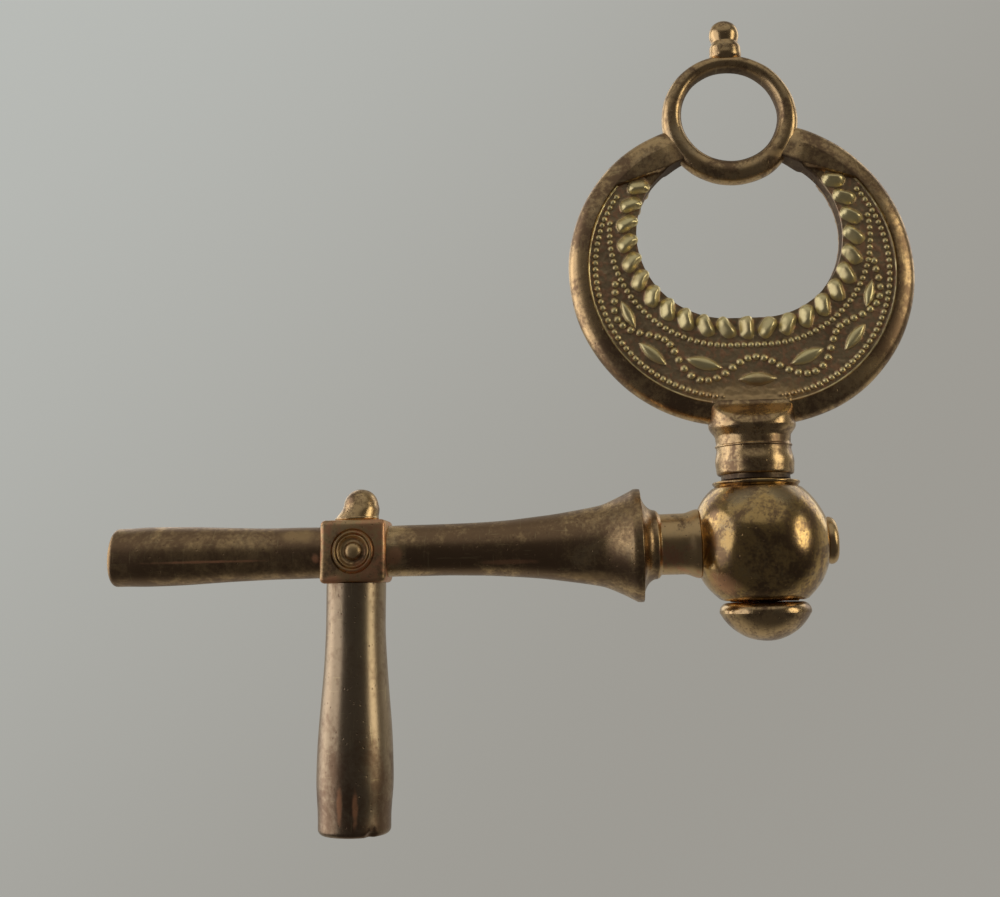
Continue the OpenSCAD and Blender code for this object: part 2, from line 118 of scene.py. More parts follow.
def mm(label, text, default):
    """A length, given in millimetres."""
    return FloatProperty(
        name=label, description=text, default=default * MM, unit="LENGTH", precision=5, step=0.001
    )


def number(label, text, default, least, most):
    """A number of like forms."""
    return IntProperty(name=label, description=text, default=default, min=least, max=most)


def deg(label, text, default):
    """An angle, given in degrees."""
    return FloatProperty(name=label, description=text, default=radians(default), subtype="ANGLE")


def ratio(label, text, default):
    """A share from 0 to 1."""
    return FloatProperty(
        name=label, description=text, default=default, min=0, max=1, subtype="FACTOR"
    )


def paint(label, text, default):
    """A linear colour."""
    return FloatVectorProperty(
        name=label, description=text, default=default, size=3, min=0, max=1, subtype="COLOR"
    )


class PipeSizes(bpy.types.PropertyGroup):
    """Winding pipe and tail pipe."""

    winding_neck_r: mm("Winding neck", "Radius under the block", 1.71)
    winding_swell_r: mm("Winding swell", "Largest radius", high("winding_pipe", 0) / MM)
    winding_swell_z: mm("Winding swell height", "Height of the swell", 2.9)
    winding_mouth_r: mm("Winding mouth", "Radius of the mouth", 2.02)
    tail_neck_r: mm("Tail neck", "Radius beside the block", 1.44)
    tail_swell_r: mm("Tail swell", "Largest radius", high("tail_pipe", 1) / MM)
    tail_swell_z: mm("Tail swell distance", "Distance of the swell from the mouth", 2.2)
    tail_mouth_r: mm("Tail mouth", "Radius of the mouth", 1.64)
    mouth_round: mm("Mouth rounding", "Round edge of both mouths", 0.32)
    straight: mm("Straight stretch", "Straight stretch beside the block", 2.0)
    spigot_r: mm("Spigot", "Radius of the spigots in the block", 1.0)


class BlockSizes(bpy.types.PropertyGroup):
    """Cross block with its punched rosettes."""

    bevel: mm("Bevel", "Bevel on the edges", 0.28)
    rosette_r: mm("Rosette", "Radius of the punched rosette", 1.26)
    groove: mm("Groove depth", "Depth of the punched grooves", 0.13)


class ArmSizes(bpy.types.PropertyGroup):
    """Trumpet-shaped arm, and the neck riveted through the ball."""

    arm_r: mm("Arm", "Radius beside the block", 1.44)
    flare_x: mm("Flare start", "Distance from the pipe to the start of the flare", 2.4)
    flare_power: FloatProperty(
        name="Flare power", description="Power of the trumpet's curve", default=2.9, min=1, max=6
    )
    rim_r: mm("Rim", "Radius of the sharp rim", high("crank_arm", 1) / MM)
    rim_lip: mm("Lip", "Width of the lip outside the flare", 0.4)
    rim_band: mm("Band", "Width of the band behind the rim", 0.35)
    rim_curl: mm("Curl", "Length over which the flare curls out to the rim", 1.9)
    dish_depth: mm("Dish", "Distance from the rim to the neck's shoulder", 0.85)
    shoulder_r: mm("Shoulder", "Radius of the neck's shoulder", 1.92)
    shoulder_w: mm("Shoulder width", "Width of the neck's shoulder", 0.28)
    neck_r: mm("Neck", "Radius of the neck", 1.7)
    tenon_r: mm("Tenon", "Radius of the tenon through the ball", 1.2)
    rivet_r: mm("Rivet", "Radius of the rivet head", 1.32)
    rivet_round: mm("Rivet rounding", "Round edge of the rivet head", 0.4)
    rivet_flat: mm("Rivet flat", "Distance of the rivet's flat from the spindle", 3.75)


class SwivelSizes(bpy.types.PropertyGroup):
    """Ball, cap and collar."""

    ball_r: mm("Ball", "Radius of the ball", high("swivel_ball", 1) / MM)
    ball_flat: mm("Flat", "Distance of the ball's lower flat from the arm's axis", 3.2)
    lip_r: mm("Lip", "Radius of the lip on top of the ball", 2.55)
    bore_r: mm("Bore", "Radius of the spindle's bore", 0.74)
    cap_edge: mm("Cap edge", "Radius of the cap's rolled edge", 0.5)
    foot_r: mm("Collar foot", "Radius of the collar's foot", 2.0)
    foot_h: mm("Foot height", "Height of the collar's foot", 0.26)
    bead_r: mm("Collar bead", "Radius of the collar's bead", 2.3)
    bead_z: mm("Collar bead height", "Height of the bead above the arm's axis", 4.5)
    groove_z: mm("Collar groove", "Height of the groove above the bead", 5.3)
    waist_r: mm("Collar waist", "Radius of the waist", 2.2)
    waist_z: mm("Waist height", "Height of the waist's end", 5.9)
    jaw_r: mm("Jaws", "Radius of the jaws", 2.55)
    jaw_z: mm("Jaw height", "Height at which the jaws start to thin", 6.6)
    jaw_blend: mm("Jaw blend", "Rounding where the jaws thin", 0.22)


class BowSizes(bpy.types.PropertyGroup):
    """Crescent and pendant ring. Heights are from the arm's axis."""

    split: mm("Split", "Distance that the oval's halves are moved apart, each way", SPLIT)
    bow_r: mm("Crescent", "Radius of the outer edge", (high("bow_frame", 0) - THROW) / MM - SPLIT)
    bow_z: mm("Crescent height", "Height of the crescent's centre", 16.1)
    hole_r: mm("Opening", "Radius of the opening", 5.25)
    hole_z: mm("Opening height", "Height of the opening's centre", 18.2)
    half_t: mm("Half thickness", "Half the thickness of the rim", high("bow_frame", 1) / MM)
    rim_w: mm("Rim width", "Width of the plain rim", 1.15)
    edge_r: mm("Edge", "Radius of the round outer edge", 0.85)
    slope: deg("Slope", "Slope of the rim towards its edge", 22)
    recess: mm("Recess", "Depth of the chased ground below the rim", 0.25)
    panel_x: mm("Panel tip", "Half the distance between the tips of the panel's ends", 2.6)
    panel_z: mm("Panel tip height", "Height of those tips", 23.06)
    panel_slope: deg("Panel slope", "Slope of the panel's ends, which fall outwards", 19)
    horn_end: deg("Horn end", "Angle each side at which the horns end in the ring", 164)
    ring_z: mm("Ring height", "Height of the ring's centre", 25.7)
    ring_r: mm("Ring", "Radius of the ring's outside", (high("pendant_ring", 0) - THROW) / MM)
    ring_half_t: mm(
        "Ring half thickness", "Half the ring's thickness", high("pendant_ring", 1) / MM
    )
    eye_r: mm("Eye", "Radius of the ring's hole", 3.0)
    eye_rise: mm("Eye rise", "Distance of the hole above the ring's centre", 0.26)


class ChasingSizes(bpy.types.PropertyGroup):
    """Ornament of the facings."""

    lobes: number("Lobes", "Gadroon lobes round the opening", 23, 9, 31)
    lobe_end: deg("Lobe end", "Angle each side at which the lobes end", 128)
    lobe_lean: deg("Lobe lean", "Angle that the lobes lean towards the horns", 38)
    lobe_l: mm("Lobe length", "Length of a lobe", 1.5)
    lobe_w: mm("Lobe width", "Width of a lobe", 0.99)
    lobe_rake: ratio("Lobe rake", "Distance of a lobe's ridge from its middle, in half widths", 0.3)
    relief: mm("Relief", "Height of lobes and navettes above the ground", 0.47)
    lobe_in: mm("Lobe place", "Distance of the lobes' middles from the opening", 0.62)
    inner_line: mm("Inner line", "Distance of the inner bead line from the opening", 1.63)
    outer_line: mm("Outer line", "Distance of the outer bead line from the rim", 0.46)
    bead_r: mm("Bead", "Radius of a bead in the two lines", 0.175)
    bead_pitch: mm("Bead pitch", "Distance between the beads of a line", 0.4)
    wave_bead_r: mm("Wave bead", "Radius of a bead in the wave", 0.215)
    wave_halves: number("Half waves", "Half waves each side", 4, 1, 6)
    wave_step: deg("Wave step", "Angle of the first half wave", 29)
    wave_ratio: ratio("Wave ratio", "Length of each half wave as a share of the last", 0.9)
    wave_turn: deg("Wave turn", "Angle that the wave is set off away from the pipe", 4)
    navette_l: mm("Navette length", "Length of the middle navette", 2.3)
    navette_w: mm("Navette width", "Width of the middle navette", 0.84)


class FinialSizes(bpy.types.PropertyGroup):
    """Beads on the block and on the ring."""

    knob_r: mm("Knob", "Radius of the bead on the block", 1.03)
    knob_shift: mm("Knob shift", "Distance of the knob off the pipe's axis", 0.25)
    knob_collar: mm("Knob collar", "Radius of the collar under the knob", 1.29)
    bead_r: mm("Ring bead", "Radius of the bead on the ring", 0.94)
    bead_shift: mm("Ring bead shift", "Distance of that bead off the spindle's axis", 0.05)
    foot_r: mm("Ring bead foot", "Radius of the foot under that bead", 1.0)


class Finish(bpy.types.PropertyGroup):
    """Colours of the aged metal."""

    gilt: paint("Gilt", "Rubbed gilding", (0.70, 0.48, 0.235))
    pale: paint("Pale gilt", "Best preserved gilding", (1.0, 0.85, 0.43))
    tarnish: paint("Tarnish", "Brown tarnish", (0.21, 0.128, 0.076))
    ground: paint("Ground", "Dark ground of the chasing", (0.50, 0.37, 0.21))
    # Copper is also laid as painted highlights and painted reflections on the winding pipe and the
    # tail pipe.
    copper: paint("Copper", "Coppery metal at joints and rubs", (0.72, 0.37, 0.20))
    # Painted shade: this dark colour is laid on the walls of the openings and in the collar's slot,
    # where shade falls.
    ground_dark: paint("Dark", "Grimy metal of walls out of the light", (0.11, 0.075, 0.05))
    golden: paint("Golden", "Deeper gilding of the ball", (0.68, 0.45, 0.175))
    rose: paint("Rose", "Pinkish gilding of the winding pipe", (0.45, 0.34, 0.215))
    patina: paint("Patina", "Dull film", (0.42, 0.335, 0.21))
    steel: paint("Steel", "Steel of the sockets and the spindle", (0.30, 0.29, 0.27))


class StageLook(bpy.types.PropertyGroup):
    """Camera, floor and light."""

    camera_place: FloatVectorProperty(
        name="Camera", description="Place of the camera", subtype="TRANSLATION", unit="LENGTH",
        default=(12.36 * MM, -83.44 * MM, 12.5 * MM),
    )
    camera_tilt: deg("Tilt", "Angle that the camera looks up", 16.88)
    camera_yaw: deg("Yaw", "Angle that the camera looks to the left", 2.39)
    camera_roll: deg("Roll", "Angle that the camera is turned about its axis", -1.34)
    lens: FloatProperty(name="Lens", description="Focal length in millimetres", default=50, min=10)
    shift: FloatProperty(
        name="Shift", description="Rise of the picture above the lens axis, in widths",
        default=-0.2767,
    )
    floor_z: mm("Floor", "Height of the floor", -20)
    floor_r: mm("Floor radius", "Radius of the floor", 70)
    backdrop: paint("Backdrop", "Pale surroundings", (0.338, 0.325, 0.294))
    backdrop_light: paint("Lit backdrop", "Backdrop at its lightest", (0.50, 0.515, 0.49))


class KeySettings(bpy.types.PropertyGroup):
    """All settings of the key."""

    pipes: PointerProperty(type=PipeSizes)
    block: PointerProperty(type=BlockSizes)
    arm: PointerProperty(type=ArmSizes)
    swivel: PointerProperty(type=SwivelSizes)
    bow: PointerProperty(type=BowSizes)
    chasing: PointerProperty(type=ChasingSizes)
    finials: PointerProperty(type=FinialSizes)
    finish: PointerProperty(type=Finish)
    stage: PointerProperty(type=StageLook)


# Outlines of turned pieces, as points of radius and height


def smooth_step(value, start, end):
    """0 before start, 1 after end and level at both."""
    t = min(1, max(0, (value - start) / (end - start)))
    return t * t * (3 - 2 * t)


def straight(r0, z0, r1, z1, steps):
    """Points of a straight stretch, without its last point."""
    return [(r0 + (r1 - r0) * i / steps, z0 + (z1 - z0) * i / steps) for i in range(steps)]


def swell(r0, z0, r1, z1, steps):
    """Points that ease from one radius to another, without the last point."""
    ease = [(1 - cos(pi * i / steps)) / 2 for i in range(steps)]
    return [(r0 + (r1 - r0) * e, z0 + (z1 - z0) * i / steps) for i, e in enumerate(ease)]


def arc(centre_r, centre_z, r, start, end, steps):
    """Points of an arc about a centre, from one angle in degrees to another."""
    turns = [radians(start + (end - start) * i / steps) for i in range(steps + 1)]
    return [(centre_r + r * cos(a), centre_z + r * sin(a)) for a in turns]


def dome(rim_r, height):
    """Radius of a dome's sphere, and the angle in degrees from its top to its rim."""
    r = (rim_r ** 2 + height ** 2) / (2 * height)
    return r, degrees(asin(rim_r / r))


# Meshes


def turned(outline, steps=SIDES, closed=False):
    """A bmesh turned about Z. A closed outline makes a piece with a bore."""
    bm = bmesh.new()
    verts = [bm.verts.new((r, 0, z)) for r, z in outline]
    edges = [bm.edges.new(pair) for pair in zip(verts, verts[1:])]
    if closed:
        edges.append(bm.edges.new((verts[-1], verts[0])))
    bmesh.ops.spin(
        bm, geom=verts + edges, cent=(0, 0, 0), axis=(0, 0, 1), angle=2 * pi, steps=steps,
        use_merge=True,
    )
    bmesh.ops.remove_doubles(bm, verts=bm.verts, dist=WELD)
    bmesh.ops.recalc_face_normals(bm, faces=bm.faces)
    return bm


def band(columns, rows, place, ring=False):
    """A bmesh band whose rows close on themselves. place gives a point for a share along and a row.

    A ring also closes along its length, and other bands get their two ends filled.
    """
    bm = bmesh.new()
    bmesh.ops.create_grid(bm, x_segments=columns, y_segments=rows, size=1)
    for vert in bm.verts:
        along = (vert.co.x + 1) / 2
        row = round((vert.co.y + 1) / 2 * rows) % rows
        vert.co = place(along % 1 if ring else along, row)
    bmesh.ops.remove_doubles(bm, verts=bm.verts, dist=WELD)
    if not ring:
        bmesh.ops.holes_fill(bm, edges=[e for e in bm.edges if e.is_boundary], sides=0)
    bmesh.ops.recalc_face_normals(bm, faces=bm.faces)
    return bm


def moved(bm, matrix):
    """Carries a bmesh to its place."""
    bmesh.ops.transform(bm, matrix=matrix, verts=bm.verts)
    return bm


def hand_worn(bm, depth, size, seed):
    """Lets the surface wander, as filing and wear leave it. Depth and size are in millimetres."""
    bm.normal_update()
    for vert in bm.verts:
        wander = noise.noise(vert.co / (size * MM) + Vector((seed, seed, 0)))
        vert.co += vert.normal * (depth * MM) * wander
    return bm


def dented(bm, place, size, push):
    """Pushes the surface round a place, most at its middle. Lengths are in millimetres."""
    for vert in bm.verts:
        away = (vert.co - Vector(place) * MM).length / (size * MM)
        if away < 1:
            vert.co += Vector(push) * MM * (1 - away * away) ** 2
    return bm


def meshed(bm, name):
    """A new mesh from a bmesh, which is used up."""
    mesh = bpy.data.meshes.new(name)
    bm.to_mesh(mesh)
    bm.free()
    return mesh


def placed(name, data):
    """A new object in the scene."""
    made = bpy.data.objects.new(name, data)
    bpy.context.scene.collection.objects.link(made)
    return made


def finished(bm, node, body, material):
    """Makes a bmesh the visible piece for a node, smooth but for its sharp edges."""
    bmesh.ops.recalc_face_normals(bm, faces=bm.faces)
    open_edges = sum(not edge.is_manifold for edge in bm.edges)
    if open_edges or not bm.faces:
        raise RuntimeError(f"{node}: the piece isn't closed, with {open_edges} open edges")
    for face in bm.faces:
        face.smooth = True
    for edge in bm.edges:
        edge.smooth = edge.calc_face_angle(0) < SHARP
    piece = placed("aged_" + node, meshed(bm, "aged_" + node))
    piece.data.materials.append(material)
    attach(piece, body)
    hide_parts(node)


def gilded(bm, node, body, slot, base, seed, **look):
    """Makes a bmesh the visible piece for a node, with its own gilt finish."""
    finished(bm, node, body, gilt_material(node + "_gilt", base, seed, **look))


# Materials


def add_node(tree, kind, inputs=None, **settings):
    """Adds a shader node, sets it up and fills its inputs with values or links."""
    node = tree.nodes.new("ShaderNode" + kind)
    for name, value in settings.items():
        setattr(node, name, value)
    for name, value in (inputs or {}).items():
        if isinstance(value, bpy.types.NodeSocket):
            tree.links.new(value, node.inputs[name])
        else:
            node.inputs[name].default_value = value
    return node


def object_place(tree):
    """Object coordinates."""
    return add_node(tree, "TexCoord").outputs["Object"]


def axes(tree):
    """The three object coordinates, each by itself."""
    return add_node(tree, "SeparateXYZ", {"Vector": object_place(tree)}).outputs


def calc(tree, operation, first, second=0.0):
    """A math node's value."""
    return add_node(tree, "Math", {0: first, 1: second}, operation=operation).outputs[0]


def more(tree, value, mask, amount):
    """A value and a share of a mask."""
    return calc(tree, "ADD", value, calc(tree, "MULTIPLY", mask, amount))


def vector_calc(tree, operation, output, *values):
    """A vector math node's vector or value."""
    node = add_node(tree, "VectorMath", dict(enumerate(values)), operation=operation)
    return node.outputs[output]


def stepped(tree, value, start, end, out_start=0.0, out_end=1.0):
    """A value that eases between two outputs as it passes from start to end."""
    inputs = {
        "Value": value, "From Min": start, "From Max": end, "To Min": out_start, "To Max": out_end,
    }
    return add_node(tree, "MapRange", inputs, interpolation_type="SMOOTHSTEP").outputs[0]


def grain(tree, place, scale, detail=4.0, roughness=0.6, distortion=0.0, seed=0.0):
    """A noise value."""
    inputs = {
        "Vector": place, "W": seed, "Scale": scale, "Detail": detail, "Roughness": roughness,
        "Distortion": distortion,
    }
    return add_node(tree, "TexNoise", inputs, noise_dimensions="4D").outputs["Fac"]


def blended(tree, share, first, second):
    """One colour that turns into another."""
    one, other = (c if isinstance(c, bpy.types.NodeSocket) else (*c, 1.0) for c in (first, second))
    return add_node(tree, "Mix", {0: share, 6: one, 7: other}, data_type="RGBA").outputs[2]


def tinted(tree, colour, mask, strength, tint):
    """A colour with a tint laid over it where a mask shows."""
    return blended(tree, calc(tree, "MULTIPLY", mask, strength), colour, tint)


def build_tarnish(tree, given):
    """Patches of tarnish with ragged edges, and a fine grain."""
    place = object_place(tree)
    patches = grain(tree, place, given["Scale"], 6.0, 0.68, 0.5, given["Seed"])
    fine_scale = calc(tree, "MULTIPLY", given["Scale"], 9.0)
    fine = grain(tree, place, fine_scale, 3.0, 0.6, 0.0, given["Seed"])
    both = more(tree, calc(tree, "MULTIPLY", patches, 0.72), fine, 0.28)
    edge = more(tree, 0.76, given["Cover"], -0.52)
    start, end = (calc(tree, side, edge, given["Softness"]) for side in ("SUBTRACT", "ADD"))
    return {"Mask": stepped(tree, both, start, end), "Grain": fine}


def build_scratches(tree, given):
    """Thin scratches in two directions."""
    place = object_place(tree)
    masks = []
    for turn, stretch in (
        ((0.5, 0.3, 0.9), (9000, 500, 700)), ((-0.4, 0.9, 0.2), (600, 700, 8000)),
    ):
        mapping = add_node(tree, "Mapping", {"Vector": place, "Rotation": turn, "Scale": stretch})
        value = grain(tree, mapping.outputs["Vector"], 1.0, 2.0, 0.5, 0.2, given["Seed"])
        masks.append(stepped(tree, value, 0.64, 0.72))
    return {"Mask": calc(tree, "MULTIPLY", calc(tree, "MAXIMUM", *masks), given["Amount"])}


def build_pits(tree, given):
    """Small scattered pits."""
    inputs = {"Vector": object_place(tree), "Scale": given["Scale"]}
    cells = add_node(tree, "TexVoronoi", inputs, feature="F1").outputs
    chance = add_node(tree, "SeparateColor", {"Color": cells["Color"]}).outputs["Red"]
    chosen = stepped(tree, chance, calc(tree, "SUBTRACT", 1.0, given["Share"]), 1.0)
    return {"Mask": calc(tree, "MULTIPLY", stepped(tree, cells["Distance"], 0.32, 0.16), chosen)}


def build_spot(tree, given):
    """A ragged patch round a place."""
    place = object_place(tree)
    apart = vector_calc(tree, "SUBTRACT", "Vector", place, given["Place"])
    scaled = vector_calc(tree, "DIVIDE", "Vector", apart, given["Size"])
    away = vector_calc(tree, "LENGTH", "Value", scaled)
    ragged = calc(tree, "ADD", away, grain(tree, place, 1600.0, 5.0))
    return {"Mask": stepped(tree, ragged, 0.8, 1.4, 1.0, 0.0)}


def build_hollow(tree, given):
    """Mask of the wall of an oval opening in the bow, where painted shade is laid."""
    parts = axes(tree)
    across = calc(tree, "ABSOLUTE", calc(tree, "SUBTRACT", parts["X"], THROW))
    across = calc(tree, "MAXIMUM", calc(tree, "SUBTRACT", across, given["Split"]), 0.0)
    up = calc(tree, "SUBTRACT", parts["Z"], given["Height"])
    from_middle = add_node(tree, "CombineXYZ", {"X": across, "Z": up}).outputs["Vector"]
    away = vector_calc(tree, "LENGTH", "Value", from_middle)
    outside = calc(tree, "SUBTRACT", away, given["Radius"])
    return {"Mask": stepped(tree, outside, 0.02 * MM, 0.22 * MM, 1.0, 0.0)}


# Shared effects: what builds each one, its inputs and its outputs
EFFECTS = {
    "tarnish": (
        build_tarnish, {"Cover": 0.5, "Scale": 500.0, "Softness": 0.05, "Seed": 0.0},
        ("Mask", "Grain"),
    ),
    "hollow": (build_hollow, {"Height": 0.0, "Radius": MM, "Split": 0.0}, ("Mask",)),
    "spot": (build_spot, {"Place": (0.0, 0.0, 0.0), "Size": (MM, MM, MM)}, ("Mask",)),
    "scratches": (build_scratches, {"Amount": 1.0, "Seed": 0.0}, ("Mask",)),
    "pits": (build_pits, {"Scale": 2500.0, "Share": 0.25}, ("Mask",)),
}


def effect_group(name):
    """The shader node group of a shared effect, built once."""
    group = bpy.data.node_groups.get(name)
    if group:
        return group
    build, inputs, outputs = EFFECTS[name]
    group = bpy.data.node_groups.new(name, "ShaderNodeTree")
    for label, default in inputs.items():
        kind = "NodeSocketVector" if isinstance(default, tuple) else "NodeSocketFloat"
        socket = group.interface.new_socket(label, in_out="INPUT", socket_type=kind)
        socket.default_value = default
    for label in outputs:
        group.interface.new_socket(label, in_out="OUTPUT", socket_type="NodeSocketFloat")
    entry = group.nodes.new("NodeGroupInput")
    leave = group.nodes.new("NodeGroupOutput")
    for label, value in build(group, entry.outputs).items():
        group.links.new(value, leave.inputs[label])
    return group


def effect(tree, name, **inputs):
    """Places one of the shared effects in a material."""
    return add_node(tree, "Group", inputs, node_tree=effect_group(name)).outputs


def made_once(build):
    """Has a material built when its name is first asked for, and then gives the same one."""
    def give(name, *values, **options):
        made = bpy.data.materials.get(name)
        if not made:
            made = bpy.data.materials.new(name)
            made.use_nodes = True
            made.node_tree.nodes.clear()
            build(made.node_tree, bpy.context.scene.watch_key.finish, *values, **options)
        return made
    return give


def close(tree, inputs):
    """Ends a material in its shader."""
    shader = add_node(tree, "BsdfPrincipled", inputs)
    add_node(tree, "OutputMaterial", {"Surface": shader.outputs["BSDF"]})


def close_metal(tree, colour, roughness, height, depth, metallic=1.0):
    """Ends a metal material: its colour, its roughness, its bump and how metallic it is."""
    bump = add_node(tree, "Bump", {"Height": height, "Distance": depth, "Strength": 1.0})
    close(tree, {
        "Base Color": colour, "Roughness": roughness, "Metallic": metallic,
        "Normal": bump.outputs["Normal"],
    })


@made_once
def gilt_material(tree, look, base, seed, cover=0.45, copper_cover=0.12, scale=420.0, zones=(),
                  spots=(), hollow=None, polish=0.18, softness=0.07):
    """Rubbed gilding under ragged brown tarnish, coppery where it is worn through.

    Each zone of (axis, start, end, change), in millimetres, changes how much of the piece the
    tarnish covers. Each spot of (place, size, colour, strength), in millimetres, lays a ragged
    matt patch of colour on it; some spots are tarnish, copper or gilt, and some are painted
    highlights, painted reflections and painted shade. A hollow of (height, radius, half split), in
    metres, is an opening whose wall gets painted shade: a dark colour laid where shade falls.
    """
    for axis, start, end, change in zones:
        cover = more(tree, cover, stepped(tree, axes(tree)[axis], start * MM, end * MM), change)
    brown = effect(tree, "tarnish", Cover=cover, Scale=scale, Softness=softness, Seed=seed)
    film = effect(tree, "tarnish", Cover=0.36, Scale=scale * 0.8, Softness=0.1, Seed=seed + 7.0)
    bare = effect(
        tree, "tarnish", Cover=copper_cover, Scale=scale * 0.7, Softness=0.05, Seed=seed + 3.0
    )
    lines = effect(tree, "scratches", Amount=0.3, Seed=seed)
    holes = effect(tree, "pits", Scale=5200.0, Share=0.2)
    rough = more(tree, polish, brown["Mask"], 0.08)
    rough = more(tree, rough, film["Mask"], 0.06)
    rough = more(tree, rough, brown["Grain"], 0.08)
    colour = tinted(tree, getattr(look, base), film["Mask"], 0.55, look.patina)
    colour = tinted(tree, colour, brown["Mask"], 0.86, look.tarnish)
    colour = tinted(tree, colour, bare["Mask"], 0.8, look.copper)
    for place, size, tint, strength in spots:
        patch = effect(tree, "spot", Place=Vector(place) * MM, Size=Vector(size) * MM)["Mask"]
        patch = calc(tree, "MULTIPLY", patch, strength)
        colour = blended(tree, patch, colour, getattr(look, tint))
        rough = more(tree, rough, patch, 0.2)
    if hollow:
        height, r, split = hollow
        # Painted shade: the wall of an opening is darkened where shade falls.
        wall = effect(tree, "hollow", Height=height, Radius=r, Split=split)["Mask"]
        colour = tinted(tree, colour, wall, 0.85, look.ground_dark)
        rough = more(tree, rough, wall, 0.35)
    colour = tinted(tree, colour, lines["Mask"], 0.5, look.pale)
    colour = tinted(tree, colour, holes["Mask"], 0.7, look.tarnish)
    height = more(tree, calc(tree, "MULTIPLY", brown["Grain"], 0.3), holes["Mask"], -1.0)
    height = more(tree, height, lines["Mask"], -0.4)
    close_metal(tree, colour, rough, height, 0.01 * MM)


@made_once
def chased_material(tree, look, bow):
    """Bright relief on a dark matt ground, told apart by the height over the middle plane."""
    depth = calc(tree, "ABSOLUTE", axes(tree)["Y"])
    ground = bow.half_t - bow.recess
    raised = stepped(tree, depth, ground + 0.03 * MM, ground + 0.1 * MM)
    brown = effect(tree, "tarnish", Cover=0.45, Scale=520.0, Softness=0.08, Seed=21.0)["Mask"]
    bare = effect(tree, "tarnish", Cover=0.2, Scale=360.0, Softness=0.06, Seed=25.0)["Mask"]
    stipple = grain(tree, object_place(tree), 3000.0, 2.0, 0.5)
    low_colour = tinted(tree, look.ground, stepped(tree, stipple, 0.46, 0.62), 0.6, look.copper)
    low_colour = tinted(tree, low_colour, brown, 0.45, look.tarnish)
    low_colour = tinted(tree, low_colour, bare, 0.5, look.copper)
    high_colour = tinted(tree, look.pale, brown, 0.25, look.gilt)
    high_colour = tinted(tree, high_colour, bare, 0.25, look.copper)
    colour = blended(tree, raised, low_colour, high_colour)
    foot = Vector((THROW, 0, ARM_Z + bow.bow_z - bow.bow_r + bow.rim_w))
    plain = effect(tree, "spot", Place=foot, Size=Vector((7.0, 50, 2.4)) * MM)["Mask"]
    colour = blended(tree, plain, colour, look.gilt)
    rough = more(tree, stepped(tree, raised, 0.0, 1.0, 0.36, 0.31), stipple, 0.08)
    metallic = stepped(tree, raised, 0.0, 1.0, 0.76, 0.85)
    height = calc(tree, "MULTIPLY", stipple, calc(tree, "SUBTRACT", 1.0, raised))
    close_metal(tree, colour, rough, height, 0.04 * MM, metallic)


@made_once
def steel_material(tree, look):
    """Dull steel with brown stains and fine drawn lines."""
    stain = effect(tree, "tarnish", Cover=0.5, Scale=700.0, Softness=0.1, Seed=40.0)["Mask"]
    lines = effect(tree, "scratches", Amount=1.0, Seed=41.0)["Mask"]
    colour = tinted(tree, look.steel, stain, 0.7, look.tarnish)
    close_metal(tree, colour, more(tree, 0.4, stain, 0.2), lines, 0.004 * MM)


@made_once
def floor_material(tree, _):
    """Pale matt floor with a faint mottle."""
    mottle = grain(tree, object_place(tree), 60.0, 3.0)
    colour = blended(tree, mottle, (0.62, 0.61, 0.58), (0.68, 0.67, 0.64))
    close(tree, {"Base Color": colour, "Roughness": 0.8})


# Pieces


